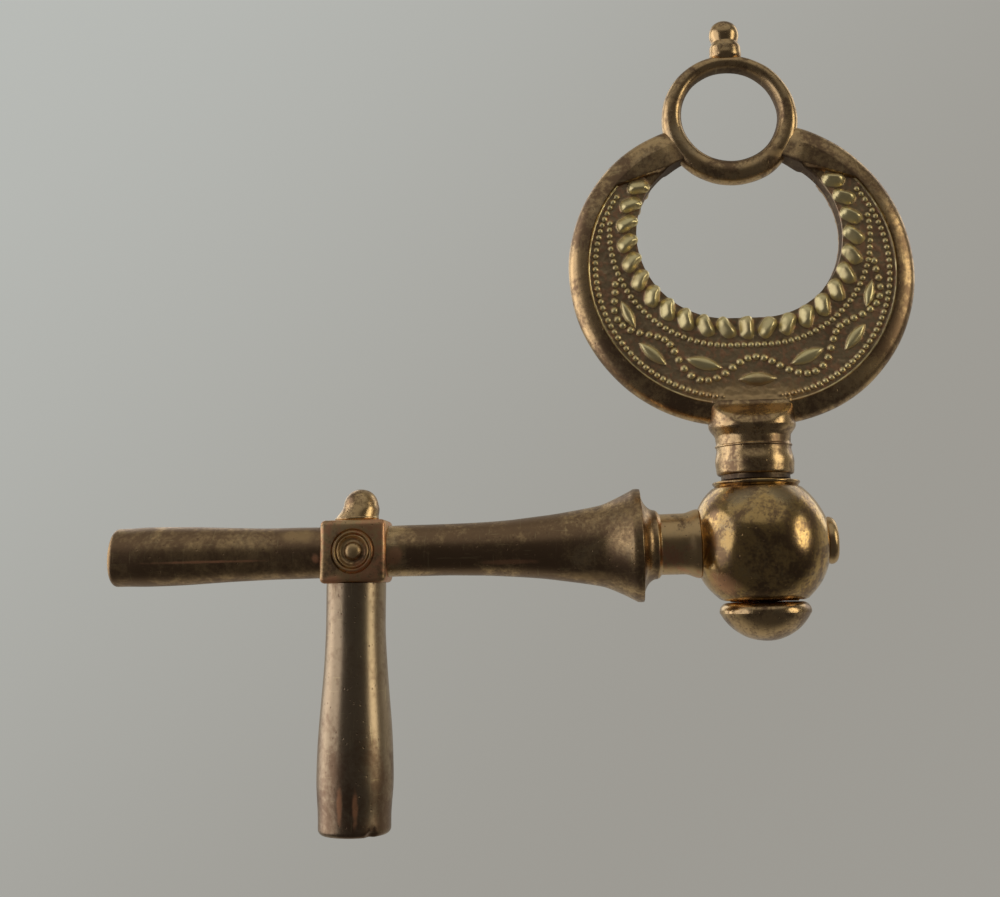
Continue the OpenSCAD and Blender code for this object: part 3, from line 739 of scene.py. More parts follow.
class WATCHKEY_OT_pipes(bpy.types.Operator):
    """Make the winding pipe and the tail pipe, with worn mouths"""

    bl_idname = "watchkey.pipes"
    bl_label = "Pipes"

    def pipe(self, p, kind, axis, across):
        """A pipe with its mouth at height 0, sized along one axis and across another."""
        node, socket = kind + "_pipe", kind + "_socket"
        mouth_r, swell_r, swell_z, neck_r = (
            getattr(p, f"{kind}_{part}") for part in ("mouth_r", "swell_r", "swell_z", "neck_r")
        )
        mouth = low(node, axis)
        length, end = low("cross_block", axis) - mouth, high(node, axis) - mouth
        bore_r, bore_depth = high(socket, across), high(socket, axis) - mouth
        neck = length - p.straight
        return turned(
            [(0, bore_depth), (bore_r, bore_depth), (bore_r, 0)]
            + arc(mouth_r - p.mouth_round, p.mouth_round, p.mouth_round, -90, 0, 8)
            + swell(mouth_r, 2 * p.mouth_round, swell_r, swell_z, 14)
            + swell(swell_r, swell_z, neck_r, neck, 40)
            + straight(neck_r, neck, neck_r, length, 10)
            + [(neck_r, length), (p.spigot_r, length), (p.spigot_r, end), (0, end)]
        )

    def execute(self, context):
        p = context.scene.watch_key.pipes
        winding = hand_worn(self.pipe(p, "winding", 2, 0), 0.022, 2.4, 3)
        dented(winding, (1.15, -1.62, 0.05), 0.42, (-0.05, 0.1, 0.14))
        gilded(
            winding, "winding_pipe", "crank", "gilt", "rose", 1.0,
            cover=0.36, polish=0.25, softness=0.12, zones=(("Z", 7.5, 0.8, 0.24),),
            spots=(
                # The two narrow upright copper streaks low on the front are painted reflections, and
                # the tarnish patch darkens the nick.
                ((-0.55, -1.9, 1.7), (0.24, 1.2, 1.3), "copper", 0.8),
                ((0.3, -2.0, 1.6), (0.24, 1.2, 1.4), "copper", 0.95),
                ((1.3, -1.5, 0.2), (0.5, 0.6, 0.4), "tarnish", 0.9),
            ),
        )
        to_mouth = Matrix.Translation((low("tail_pipe", 0), 0, 0)) @ ALONG_ARM
        tail = hand_worn(moved(self.pipe(p, "tail", 0, 1), to_mouth), 0.022, 2.4, 5)
        gilded(
            tail, "tail_pipe", "crank", "gilt", "gilt", 2.0,
            cover=0.62, polish=0.27, softness=0.12,
            spots=(
                # The long thin copper line low along the front is a painted highlight.
                ((-8.5, -1.4, 14.6), (4.8, 0.8, 0.13), "copper", 0.9),
                ((-3.2, -1.0, 15.9), (1.8, 1.0, 0.6), "gilt", 0.6),
                ((-2.2, -1.5, 14.6), (0.3, 0.6, 0.4), "copper", 1.0),
                ((-14.2, -1.2, 15.0), (0.2, 1.2, 1.6), "gilt", 0.8),
            ),
        )
        return {"FINISHED"}


class WATCHKEY_OT_steel(bpy.types.Operator):
    """Give the steel sockets and the spindle their dull finish"""

    bl_idname = "watchkey.steel"
    bl_label = "Steel sockets and spindle"

    def execute(self, context):
        for node in ("winding_socket", "tail_socket", "swivel_spindle"):
            mesh = frame["nodes"][node].data
            mesh.materials.clear()
            mesh.materials.append(steel_material("socket_steel"))
        return {"FINISHED"}


class WATCHKEY_OT_block(bpy.types.Operator):
    """Make the bevelled cross block with a punched rosette on its front and back"""

    bl_idname = "watchkey.block"
    bl_label = "Cross block"

    def rosette(self, r, depth):
        """Outline of the punched rings, from the face's edge inwards to the middle boss."""
        shares = (
            (1.0, 0), (0.97, 0.6), (0.93, 0.2), (0.88, -0.7), (0.83, -0.8), (0.79, -0.4),
            (0.76, 0.3), (0.73, -0.2), (0.69, -0.4), (0.64, 0.1), (0.58, 1.1), (0.5, 1.5),
            (0.42, 1.3), (0.36, 0.4), (0.28, -0.3), (0.18, -0.6), (0.08, -0.75), (0.0, -0.8),
        )
        return [(r * share, -depth * sink) for share, sink in shares]

    def execute(self, context):
        b = context.scene.watch_key.block
        lowest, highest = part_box("cross_block")
        size = highest - lowest
        bm = bmesh.new()
        bmesh.ops.create_cube(bm, size=1)
        bmesh.ops.scale(bm, vec=size, verts=bm.verts)
        bmesh.ops.bevel(
            bm, geom=bm.edges[:], offset=b.bevel, segments=3, profile=0.5, affect="EDGES",
            material=-1,
        )
        for side in (-1, 1):
            face = max(bm.faces, key=lambda f: f.normal.y * side * f.calc_area())
            rim = list(face.edges)
            bmesh.ops.delete(bm, geom=[face], context="FACES_ONLY")
            to_face = Matrix.Translation((0, side * size.y / 2, 0))
            turn = to_face @ Matrix.Rotation(-side * pi / 2, 4, "X")
            before = set(bm.verts)
            rosette = turned(self.rosette(b.rosette_r, b.groove), FEW_SIDES)
            punched = meshed(moved(rosette, turn), "punched")
            bm.from_mesh(punched)
            bpy.data.meshes.remove(punched)
            ring = [e for e in bm.edges if e.is_boundary and e.verts[0] not in before]
            bmesh.ops.triangle_fill(bm, use_beauty=True, edges=rim + ring, normal=(0, side, 0))
        moved(bm, Matrix.Translation((lowest + highest) / 2))
        face_y = size.y / 2 / MM
        gilded(
            hand_worn(bm, 0.02, 1.3, 8), "cross_block", "crank", "copper_gilt", "gilt", 4.0,
            cover=0.4, copper_cover=0.42, scale=520.0, polish=0.36,
            zones=[("Y", side * (face_y + 0.01), side * (face_y + 0.05), -0.5) for side in (-1, 1)],
            spots=(
                ((-1.2, -1.75, 13.35), (1.1, 0.5, 0.5), "copper", 0.95),
                ((-1.9, -1.4, 14.6), (0.4, 0.6, 0.8), "copper", 0.9),
            ),
        )
        return {"FINISHED"}


class WATCHKEY_OT_finials(bpy.types.Operator):
    """Make the beads on the block and on the ring"""

    bl_idname = "watchkey.finials"
    bl_label = "Finials"

    def knob(self, f):
        """The bead on the block, over a cone that leans to one side."""
        base, top = low("block_finial", 2), high("block_finial", 2)
        foot = high("cross_block", 2)
        peg_r, cone_r, edge = 0.5 * MM, f.knob_collar - 0.05 * MM, 0.1 * MM
        knob = turned(
            [(0, base), (peg_r, base), (peg_r, foot), (cone_r, foot)]
            + arc(f.knob_collar - edge, foot + 1.2 * edge, edge, -40, 50, 5)
            + straight(cone_r, foot + 2 * edge, f.knob_r, top - 0.9 * f.knob_r, 8)
            + arc(0, top - f.knob_r, f.knob_r, 8, 90, 22), FEW_SIDES,
        )
        for vert in knob.verts:
            vert.co.x += f.knob_shift * smooth_step(vert.co.z, foot, foot + 8 * edge)
        return knob

    def bead(self, f):
        """The bead on the ring, with a foot that tapers into the ring."""
        base, r = low("ring_finial", 2), f.bead_r
        centre = high("ring_finial", 2) - r
        ring_top = high("pendant_ring", 2)
        bead = turned(
            [(0, base), (0.6 * f.foot_r, base)]
            + swell(0.6 * f.foot_r, base, f.foot_r, ring_top + 0.05 * MM, 8)
            + straight(f.foot_r, ring_top + 0.08 * MM, f.foot_r, centre - 1.05 * r, 4)
            + swell(f.foot_r, centre - r, 0.86 * r, centre - 0.5 * r, 6)
            + arc(0, centre, r, -24, 90, 24), FEW_SIDES,
        )
        return moved(bead, Matrix.Translation((THROW + f.bead_shift, 0, 0)))

    def execute(self, context):
        f = context.scene.watch_key.finials
        look = {"cover": 0.46, "copper_cover": 0.2, "scale": 900.0, "polish": 0.2}
        for bm, node, body, seed in (
            (self.knob(f), "block_finial", "crank", 11), (self.bead(f), "ring_finial", "bow", 13),
        ):
            gilded(hand_worn(bm, 0.03, 0.9, seed), node, body, "pale_gilt", "gilt", 6.0, **look)
        return {"FINISHED"}


class WATCHKEY_OT_arm(bpy.types.Operator):
    """Make the trumpet-shaped arm and the neck that is riveted through the ball"""

    bl_idname = "watchkey.arm"
    bl_label = "Arm and neck"

    def arm_outline(self, a, spigot_r):
        """Outline of the arm, from its spigot to the dished end."""
        start, end = low("crank_arm", 0), high("crank_arm", 0)
        shoulder = high("cross_block", 0)
        rim_x = end - a.dish_depth
        flare_r = a.rim_r - a.rim_lip
        reach = rim_x - a.rim_band - a.flare_x
        nip, steps, dish_steps = 0.06 * MM, 64, 14
        flare = []
        for i in range(steps + 1):
            x = reach * i / steps
            open_r = a.arm_r + (flare_r - a.arm_r) * (x / reach) ** a.flare_power
            curl = max(0, 1 - (reach - x) / a.rim_curl) ** 1.2
            flare.append((open_r + (a.rim_r - flare_r) * curl, a.flare_x + x))
        dish = [pi / 2 * i / dish_steps for i in range(1, dish_steps + 1)]
        return (
            [(0, start), (spigot_r, start), (spigot_r, shoulder)]
            + straight(a.arm_r, shoulder, a.arm_r, a.flare_x, 10)
            + flare
            + straight(a.rim_r, rim_x - a.rim_band + nip / 2, a.rim_r + nip / 3, rim_x - nip, 3)
            + arc(a.rim_r - nip, rim_x - nip / 1.5, nip, 0, 60, 5)
            + [(a.rim_r + (a.shoulder_r - a.rim_r) * sin(t), rim_x + a.dish_depth * (1 - cos(t)))
               for t in dish]
            + [(0, end)]
        )

    def neck_outline(self, a, ball_r):
        """Outline of the neck, its tenon and its rivet head."""
        start, tip = high("crank_arm", 0), high("neck_tenon", 0)
        foot = THROW - ball_r
        head = THROW + a.rivet_flat
        edge_end, crown_h, fillet = 80, 0.06 * MM, 0.45 * MM
        crown_r = a.rivet_r - a.rivet_round * (1 - cos(radians(edge_end)))
        dome_r, spread = dome(crown_r, crown_h)
        edge_z = tip - crown_h - a.rivet_round * sin(radians(edge_end))
        return (
            [(0, start), (a.shoulder_r - 0.03 * MM, start)]
            + swell(a.shoulder_r - 0.03 * MM, start + 0.05 * MM, a.neck_r, start + a.shoulder_w, 8)
            + straight(a.neck_r, start + a.shoulder_w, a.neck_r, foot - fillet, 10)
            + swell(a.neck_r, foot - fillet, a.shoulder_r, foot + fillet, 8)
            + [(a.shoulder_r, foot + fillet), (a.tenon_r, foot + 2 * fillet), (a.tenon_r, head)]
            + [(a.rivet_r - 0.05 * MM, head)]
            + arc(a.rivet_r - a.rivet_round, edge_z, a.rivet_round, 0, edge_end, 10)
            + arc(0, tip - dome_r, dome_r, 90 - spread, 90, 8)[1:]
        )

    def execute(self, context):
        settings = context.scene.watch_key
        a = settings.arm
        arm = moved(turned(self.arm_outline(a, settings.pipes.spigot_r)), ALONG_ARM)
        gilded(
            hand_worn(arm, 0.03, 2.2, 17), "crank_arm", "crank", "gilt", "gilt", 8.0,
            cover=0.68, copper_cover=0.14, scale=520.0, polish=0.22, softness=0.1,
            zones=(("X", 4.5, 2.2, -0.26), ("X", 9.5, 15, -0.12)),
            spots=(
                ((2.4, -1.2, 14.7), (0.8, 1.0, 0.8), "copper", 0.7),
                ((13.2, -2.0, 13.3), (2.4, 1.5, 0.5), "gilt", 0.8),
                ((9.0, -1.4, 14.2), (2.4, 1.0, 0.2), "copper", 0.5),
            ),
        )
        neck = moved(turned(self.neck_outline(a, settings.swivel.ball_r)), ALONG_ARM)
        gilded(
            hand_worn(neck, 0.025, 1.4, 19), "neck_tenon", "crank", "copper_gilt", "gilt", 9.0,
            cover=0.28, copper_cover=0.32, scale=520.0, polish=0.26,
        )
        return {"FINISHED"}


class WATCHKEY_OT_ball(bpy.types.Operator):
    """Make the ball with its lower flat, the lip on its top and its bore"""

    bl_idname = "watchkey.ball"
    bl_label = "Swivel ball"

    def execute(self, context):
        settings = context.scene.watch_key
        s = settings.swivel
        flat_at = degrees(asin(s.ball_flat / s.ball_r))
        land_r = sqrt(s.ball_r ** 2 - s.ball_flat ** 2)
        lip_at = degrees(acos(s.lip_r / s.ball_r))
        lip_z = sqrt(s.ball_r ** 2 - s.lip_r ** 2)
        top = high("swivel_ball", 2) - ARM_Z
        nip = 0.1 * MM
        boss = -s.ball_flat - 0.7 * nip
        ball = turned(
            [(s.bore_r, boss), (0.8 * land_r, boss)]
            + [(0.82 * land_r, -s.ball_flat), (land_r - nip, -s.ball_flat)]
            + arc(0, 0, s.ball_r, -flat_at + 1.5, lip_at - 1, 72)
            + [(s.lip_r - 1.4 * nip, lip_z + 0.4 * nip), (s.lip_r - nip, lip_z + 0.9 * nip)]
            + arc(s.lip_r - nip, top - nip, nip, -20, 90, 5) + [(s.bore_r, top)], closed=True,
        )
        cut = bmesh.ops.bisect_plane(
            ball, geom=ball.verts[:] + ball.edges[:] + ball.faces[:],
            plane_co=(settings.arm.rivet_flat, 0, 0), plane_no=(1, 0, 0), clear_outer=True,
        )
        around = [e for e in cut["geom_cut"] if isinstance(e, bmesh.types.BMEdge)]
        bmesh.ops.contextual_create(ball, geom=around)
        hand_worn(moved(ball, ON_SPINDLE), 0.045, 1.7, 23)
        gilded(
            ball, "swivel_ball", "crank", "gilt", "golden", 12.0,
            cover=0.5, copper_cover=0.16, scale=620.0, polish=0.1,
            spots=(
                ((20.9, -2.2, 12.8), (1.5, 1.6, 1.0), "copper", 0.8),
                # The patina patches on the top are patina and also a painted reflection that lightens
                # the top.
                ((24.6, -2.6, 17.6), (1.8, 1.6, 0.9), "patina", 0.7),
                ((22.0, -2.8, 17.4), (1.3, 1.4, 0.8), "patina", 0.6),
            ),
        )
        return {"FINISHED"}


class WATCHKEY_OT_collar(bpy.types.Operator):
    """Make the collar with its bead and jaws, and the domed cap under the ball"""

    bl_idname = "watchkey.collar"
    bl_label = "Collar and cap"

    def collar(self, s, lip):
        """The collar, whose jaws thin towards the crescent."""
        foot, jaw_top = low("bow_collar", 2) - ARM_Z, high("bow_collar", 2) - ARM_Z
        ridge, edge = 0.08 * MM, 0.14 * MM
        under = foot + s.foot_h
        groove_r = s.waist_r - 0.03 * MM
        collar = turned(
            [(0, foot), (s.foot_r, foot), (s.foot_r, under)]
            + arc(s.bead_r - 1.4 * edge, under + edge, edge, -90, -10, 5)
            + swell(s.bead_r - 0.3 * edge, under + 1.4 * edge, s.bead_r, s.bead_z, 8)
            + swell(s.bead_r, s.bead_z, groove_r, s.groove_z, 8)
            + arc(groove_r, s.groove_z + 0.13 * MM, ridge, -80, 80, 6)
            + swell(groove_r, s.groove_z + 0.26 * MM, s.waist_r, s.waist_z, 4)
            + swell(s.waist_r, s.waist_z, s.jaw_r, s.jaw_z, 10)
            + straight(s.jaw_r, s.jaw_z, s.jaw_r, jaw_top, 24)
            + [(s.jaw_r, jaw_top), (0, jaw_top)], MANY_SIDES,
        )
        for vert in collar.verts:
            thinned = s.jaw_r + (lip - s.jaw_r) * smooth_step(vert.co.z, s.jaw_z, jaw_top)
            blend = max(1e-9, s.jaw_blend * smooth_step(vert.co.z, s.waist_z, s.jaw_z + 0.5 * MM))
            out = abs(vert.co.y)
            eased = min(out, thinned) - blend * log1p(exp(-abs(out - thinned) / blend))
            vert.co.y = copysign(max(0, eased), vert.co.y)
        return collar

    def cap(self, s):
        """The cap, with a rolled edge and a domed underside."""
        cap_low, cap_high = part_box("spindle_cap")
        r, top, bottom = cap_high.y, cap_high.z - ARM_Z, cap_low.z - ARM_Z
        dome_r, spread = dome(r, top - 1.1 * s.cap_edge - bottom)
        return turned(
            [(0, top), (r - s.cap_edge, top)]
            + arc(r - s.cap_edge, top - s.cap_edge, s.cap_edge, 90, -10, 10)
            + arc(0, bottom + dome_r, dome_r, spread - 92, -90, 26)
        )

    def execute(self, context):
        settings = context.scene.watch_key
        collar = moved(self.collar(settings.swivel, settings.bow.half_t - 0.03 * MM), ON_SPINDLE)
        foot = (THROW / MM, 0, low("bow_collar", 2) / MM + 0.08)
        gilded(
            hand_worn(collar, 0.03, 1.2, 29), "bow_collar", "bow", "pale_gilt", "gilt", 15.0,
            cover=0.48, copper_cover=0.24, scale=620.0, polish=0.2,
            # Painted shade: the dark spot fills the slot under the collar's bead, where shade falls.
            spots=((foot, (6, 6, 0.42), "ground_dark", 1.0),),
        )
        cap = moved(self.cap(settings.swivel), ON_SPINDLE)
        gilded(
            hand_worn(cap, 0.02, 1.2, 31), "spindle_cap", "bow", "pale_gilt", "gilt", 16.0,
            cover=0.5, copper_cover=0.06, scale=620.0, polish=0.16,
        )
        return {"FINISHED"}


def below(centre, r, angle, shift=0.0):
    """A point of the bow's plane, at an angle from straight below a centre moved sideways."""
    return shift + r * sin(angle), centre - r * cos(angle)


def along_oval(split, r, way):
    """Shift and angle after a way along an oval, which first runs straight for its split.

    The way is an angle round a circle of radius r that is as long as the oval's stretch.
    """
    straight_way = split / r
    shift = split * max(-1, min(1, way / straight_way))
    return shift, copysign(max(0, abs(way) - straight_way), way)


def raised_circle(rise, r, angle):
    """Distance from a centre to a circle that is set higher, at an angle from straight below."""
    return sqrt(r ** 2 - (rise * sin(angle)) ** 2) - rise * cos(angle)


def opening_r(bow, angle, r):
    """Distance from the crescent's centre to a circle about the opening's centre."""
    return raised_circle(bow.hole_z - bow.bow_z, r, angle)


def past_panel(bow, x, z):
    """0 on the chased panel and 1 on the plain horns beyond its slanted ends."""
    end = bow.panel_z - (abs(x) - bow.panel_x) * tan(bow.panel_slope)
    return smooth_step(z, end - 0.14 * MM, end)


class WATCHKEY_OT_crescent(bpy.types.Operator):
    """Make the crescent frame with its sloped rim, round edge and plain horns"""

    bl_idname = "watchkey.crescent"
    bl_label = "Crescent"

    def section(self, bow, angle, shift):
        """Half section of the crescent at an angle, as radii and depths, from opening to edge."""
        inner = opening_r(bow, angle, bow.hole_r)
        panel_r = bow.bow_r - bow.rim_w
        thin = 1 - 0.3 * smooth_step(abs(angle), bow.horn_end - radians(9), bow.horn_end)
        seat, nip, steps = bow.recess + 0.12 * MM, 0.08 * MM, 24
        points = []
        for i in range(steps + 1):
            r = inner + nip + (panel_r - inner - 1.2 * nip) * i / steps
            x, z = below(bow.bow_z, r, angle, shift)
            points.append((r, bow.half_t - seat * (1 - past_panel(bow, x, z))))
        points = [(inner, 0), (inner, points[0][1] - nip)] + points
        edge_r = bow.edge_r
        edge_steps = 10
        turns = [(pi / 2 - bow.slope) * (1 - i / edge_steps) for i in range(edge_steps + 1)]
        rounded = [(bow.bow_r - edge_r + edge_r * cos(t), edge_r * sin(t)) for t in turns]
        slope_start = rounded[0][0] - (bow.half_t - rounded[0][1]) / tan(bow.slope)
        points += [(panel_r, bow.half_t), (slope_start, bow.half_t)] + rounded
        return [(r, y * thin) for r, y in points]

    def execute(self, context):
        bow = context.scene.watch_key.bow
        half = len(self.section(bow, 0, 0))
        columns, rows = 480, 2 * half - 2
        sections = {}

        def place(share, row):
            end = bow.horn_end + bow.split / bow.bow_r
            shift, angle = along_oval(bow.split, bow.bow_r, (2 * share - 1) * end)
            if share not in sections:
                sections[share] = self.section(bow, angle, shift)
            front = row < half
            r, y = sections[share][row if front else rows - row]
            x, z = below(bow.bow_z, r, angle, shift)
            return Vector((x, -y if front else y, z))

        crescent = moved(band(columns, rows, place), ON_SPINDLE)
        gilded(
            hand_worn(crescent, 0.025, 2.2, 37), "bow_frame", "bow", "gilt", "gilt", 18.0,
            # The opening's wall gets painted shade, a dark colour where shade falls.
            cover=0.52, polish=0.24, hollow=(ARM_Z + bow.hole_z, bow.hole_r, bow.split),
        )
        return {"FINISHED"}


class WATCHKEY_OT_facings(bpy.types.Operator):
    """Make the two chased facings: gadroon lobes, bead lines, a beaded wave and navettes"""

    bl_idname = "watchkey.facings"
    bl_label = "Chased facings"

    # Depth and size of the ground's two stipples, in millimetres
    STIPPLE = ((0.016, 0.2), (0.02, 0.45))
    # Middle and swing of the beaded wave and of its navettes, in shares between the bead lines
    WAVE, NAVETTES = (0.49, -0.25), (0.535, 0.13)

    def lines(self, bow, c):
        """Radii of the inner bead line, round the opening, and of the outer one, by the rim."""
        return bow.hole_r + c.inner_line, bow.bow_r - bow.rim_w - c.outer_line

    def beads(self, bow, c):
        """Places and radii of all beads in the bow's plane."""
        inner_r, outer_r = self.lines(bow, c)
        inner_end, outer_end, under_collar = radians(97), radians(126), radians(12.5)
        found = []
        for centre, r, end, bare in (
            (bow.hole_z, inner_r, inner_end, c.bead_pitch / inner_r / 2),
            (bow.bow_z, outer_r, outer_end, under_collar),
        ):
            far = end + bow.split / r
            count = int(r * (far - bare) / c.bead_pitch)
            for way in (bare + (far - bare) * i / count for i in range(count + 1)):
                for side in (-1, 1):
                    shift, angle = along_oval(bow.split, r, side * way)
                    found.append((*below(centre, r, angle, shift), c.bead_r))
        for side in (-1, 1):
            for half in range(c.wave_halves):
                count = round(7 - 0.6 * half)
                for halves in (side * (half + i / count) for i in range(count)):
                    share = self.swung(self.WAVE, halves)
                    point = self.panel_point(bow, c, self.wave_way(c, halves), share)
                    found.append((*point, c.wave_bead_r))
        return found

    def panel_way(self, bow, c, way):
        """Shift and angle after a way along the middle of the panel."""
        inner_r, outer_r = self.lines(bow, c)
        return along_oval(bow.split, (opening_r(bow, 0, inner_r) + outer_r) / 2, way)

    def panel_point(self, bow, c, way, share):
        """A point between the inner and the outer bead line."""
        shift, angle = self.panel_way(bow, c, way)
        inner_r, outer = self.lines(bow, c)
        inner = opening_r(bow, angle, inner_r)
        return below(bow.bow_z, inner + share * (outer - inner), angle, shift)

    def panel_width(self, bow, c, way):
        """Distance between the two bead lines."""
        return dist(self.panel_point(bow, c, way, 0), self.panel_point(bow, c, way, 1))

    def wave_way(self, c, halves):
        """Way of the wave after a number of half waves, which shorten as the panel narrows."""
        run = (1 - c.wave_ratio ** abs(halves)) / (1 - c.wave_ratio)
        return c.wave_turn + copysign(c.wave_step * run, halves)

    def swung(self, path, halves):
        """Share between the bead lines after a number of half waves of a path."""
        middle, swing = path
        return middle + swing * cos(pi * halves)

    def almonds(self, bow, c):
        """Lobes and navettes: place, direction, half length, half width and whether pointed."""
        found = []
        ring_r, upright = bow.hole_r + c.lobe_in, radians(12)
        for i in range(c.lobes):
            way = (i - (c.lobes - 1) / 2) * 2 * (c.lobe_end + bow.split / ring_r) / c.lobes
            lean = -c.lobe_lean * max(-1, min(1, way / upright))
            shift, angle = along_oval(bow.split, ring_r, way)
            place = below(bow.hole_z, ring_r, angle, shift)
            found.append((place, angle + lean, c.lobe_l / 2, c.lobe_w / 2, False))
        middle = self.panel_width(bow, c, 0)
        for half in range(1 - c.wave_halves, c.wave_halves):
            way = self.wave_way(c, half)
            size = sqrt(self.panel_width(bow, c, way) / middle) / 2
            place = self.panel_point(bow, c, way, self.swung(self.NAVETTES, half))
            turn = self.panel_way(bow, c, way)[1] + pi / 2
            found.append((place, turn, size * c.navette_l, size * c.navette_w, True))
        return found

    def almond_height(self, almond, x, z, relief, rake):
        """Height of a lobe or navette over the ground at a point."""
        (px, pz), angle, half_l, half_w, pointed = almond
        dx, dz = x - px, z - pz
        along = (-dx * sin(angle) + dz * cos(angle)) / half_l
        across = (dx * cos(angle) + dz * sin(angle)) / half_w
        if pointed:
            across /= max(1e-6, 1 - along ** 2)
            left = 1 - across ** 2 if abs(along) < 1 else 0
            return relief * 0.6 * max(0, left) ** 0.8 * (1 - along ** 4)
        across = (across - rake) / (1 - rake if across > rake else 1 + rake)
        spread = across ** 2 + abs(along) ** 3.6
        crown, power = 0.05, 0.75
        fall = ((spread + crown) ** power - crown ** power) / (1 - crown ** power)
        return relief * max(0, 1 - fall)

    def tree(self, places):
        """A search tree of points in the bow's plane."""
        tree = KDTree(len(places))
        for i, (x, z) in enumerate(places):
            tree.insert((x, 0, z), i)
        tree.balance()
        return tree

    def execute(self, context):
        settings = context.scene.watch_key
        bow, c = settings.bow, settings.chasing
        panel_r = bow.bow_r - bow.rim_w
        ground = bow.half_t - bow.recess
        back = ground - 0.25 * MM
        ridge_in, ridge_w, ridge_h = 0.07 * MM, 0.09 * MM, 0.1 * MM
        jaw_in, jaw_out, jaw_gap = 1.7 * MM, 2.4 * MM, 0.02 * MM
        ramp_in, ramp_out = panel_r - 1.2 * MM, panel_r + 0.3 * MM
        beads = self.beads(bow, c)
        almonds = self.almonds(bow, c)
        bead_tree = self.tree([bead[:2] for bead in beads])
        almond_tree = self.tree([almond[0] for almond in almonds])

        def height(x, z, r):
            spot = Vector((x, 0, z))
            found = sum(
                depth * MM * noise.noise(spot / (size * MM)) for depth, size in self.STIPPLE
            )
            ridge = abs(r - panel_r + ridge_in) / ridge_w
            at_jaw = 1 - smooth_step(abs(x), jaw_in, jaw_out)
            found += max(0, 1 - ridge ** 2) * ridge_h * (1 - at_jaw)
            found += (bow.recess - jaw_gap) * at_jaw * smooth_step(r, ramp_in, ramp_out)
            _, i, away = bead_tree.find(spot)
            bead_r = beads[i][2]
            if away < bead_r:
                found = max(found, sqrt(bead_r ** 2 - away ** 2))
            for _, i, _ in almond_tree.find_n(spot, 3):
                found = max(found, self.almond_height(almonds[i], x, z, c.relief, c.lobe_rake))
            return found

        columns, rows, lip_rows = 700, 92, 8
        front_rows = rows - 2
        plate_end = radians(142) + bow.split / panel_r

        def place(share, row):
            shift, angle = along_oval(bow.split, panel_r, (2 * share - 1) * plate_end)
            inner = opening_r(bow, angle, bow.hole_r)
            across = min(row, front_rows - 1) / (front_rows - 1) if row < rows - 1 else 0
            r = inner + across * (panel_r - inner)
            x, z = below(bow.bow_z, r, angle, shift)
            if row >= front_rows:
                return Vector((x, -back, z))
            rise = height(x, z, r)
            overhang = 0.4 * max(0, rise) * max(0, 1 - row / lip_rows)
            x, z = below(bow.bow_z, r - overhang, angle, shift)
            return Vector((x, -ground - rise, z))

        front = band(columns, rows, place)
        rear = moved(front.copy(), ON_SPINDLE @ Matrix.Scale(-1, 4, (0, 1, 0)))
        moved(front, ON_SPINDLE)
        for bm, node in ((front, "front_facing"), (rear, "back_facing")):
            finished(bm, node, "bow", chased_material("crescent_chasing", bow))
        return {"FINISHED"}


class WATCHKEY_OT_ring(bpy.types.Operator):
    """Make the pendant ring, thicker below its hole than above"""

    bl_idname = "watchkey.ring"
    bl_label = "Pendant ring"

    def execute(self, context):
        bow = context.scene.watch_key.bow
        columns, rows = 144, 32

        def place(share, row):
            angle = 2 * pi * share
            inner = raised_circle(bow.eye_rise, bow.eye_r, angle)
            turn = 2 * pi * row / rows
            across, deep = (
                copysign(abs(v) ** power, v) for v, power in ((cos(turn), 0.86), (sin(turn), 0.92))
            )
            r = (inner + bow.ring_r) / 2 + across * (bow.ring_r - inner) / 2
            x, z = below(bow.ring_z, r, angle)
            return Vector((x, -deep * bow.ring_half_t, z))

        ring = moved(band(columns, rows, place, ring=True), ON_SPINDLE)
        gilded(
            hand_worn(ring, 0.03, 1.3, 43), "pendant_ring", "bow", "gilt", "gilt", 20.0,
            cover=0.44, copper_cover=0.2, scale=480.0, polish=0.24,
            # The gilt spot low on the right of the front is a painted highlight, and the eye's wall
            # gets painted shade.
            spots=(((26.0, -0.7, 38.2), (0.9, 0.6, 0.4), "gilt", 0.9),),
            hollow=(ARM_Z + bow.ring_z + bow.eye_rise, bow.eye_r, 0.0),
        )
        return {"FINISHED"}


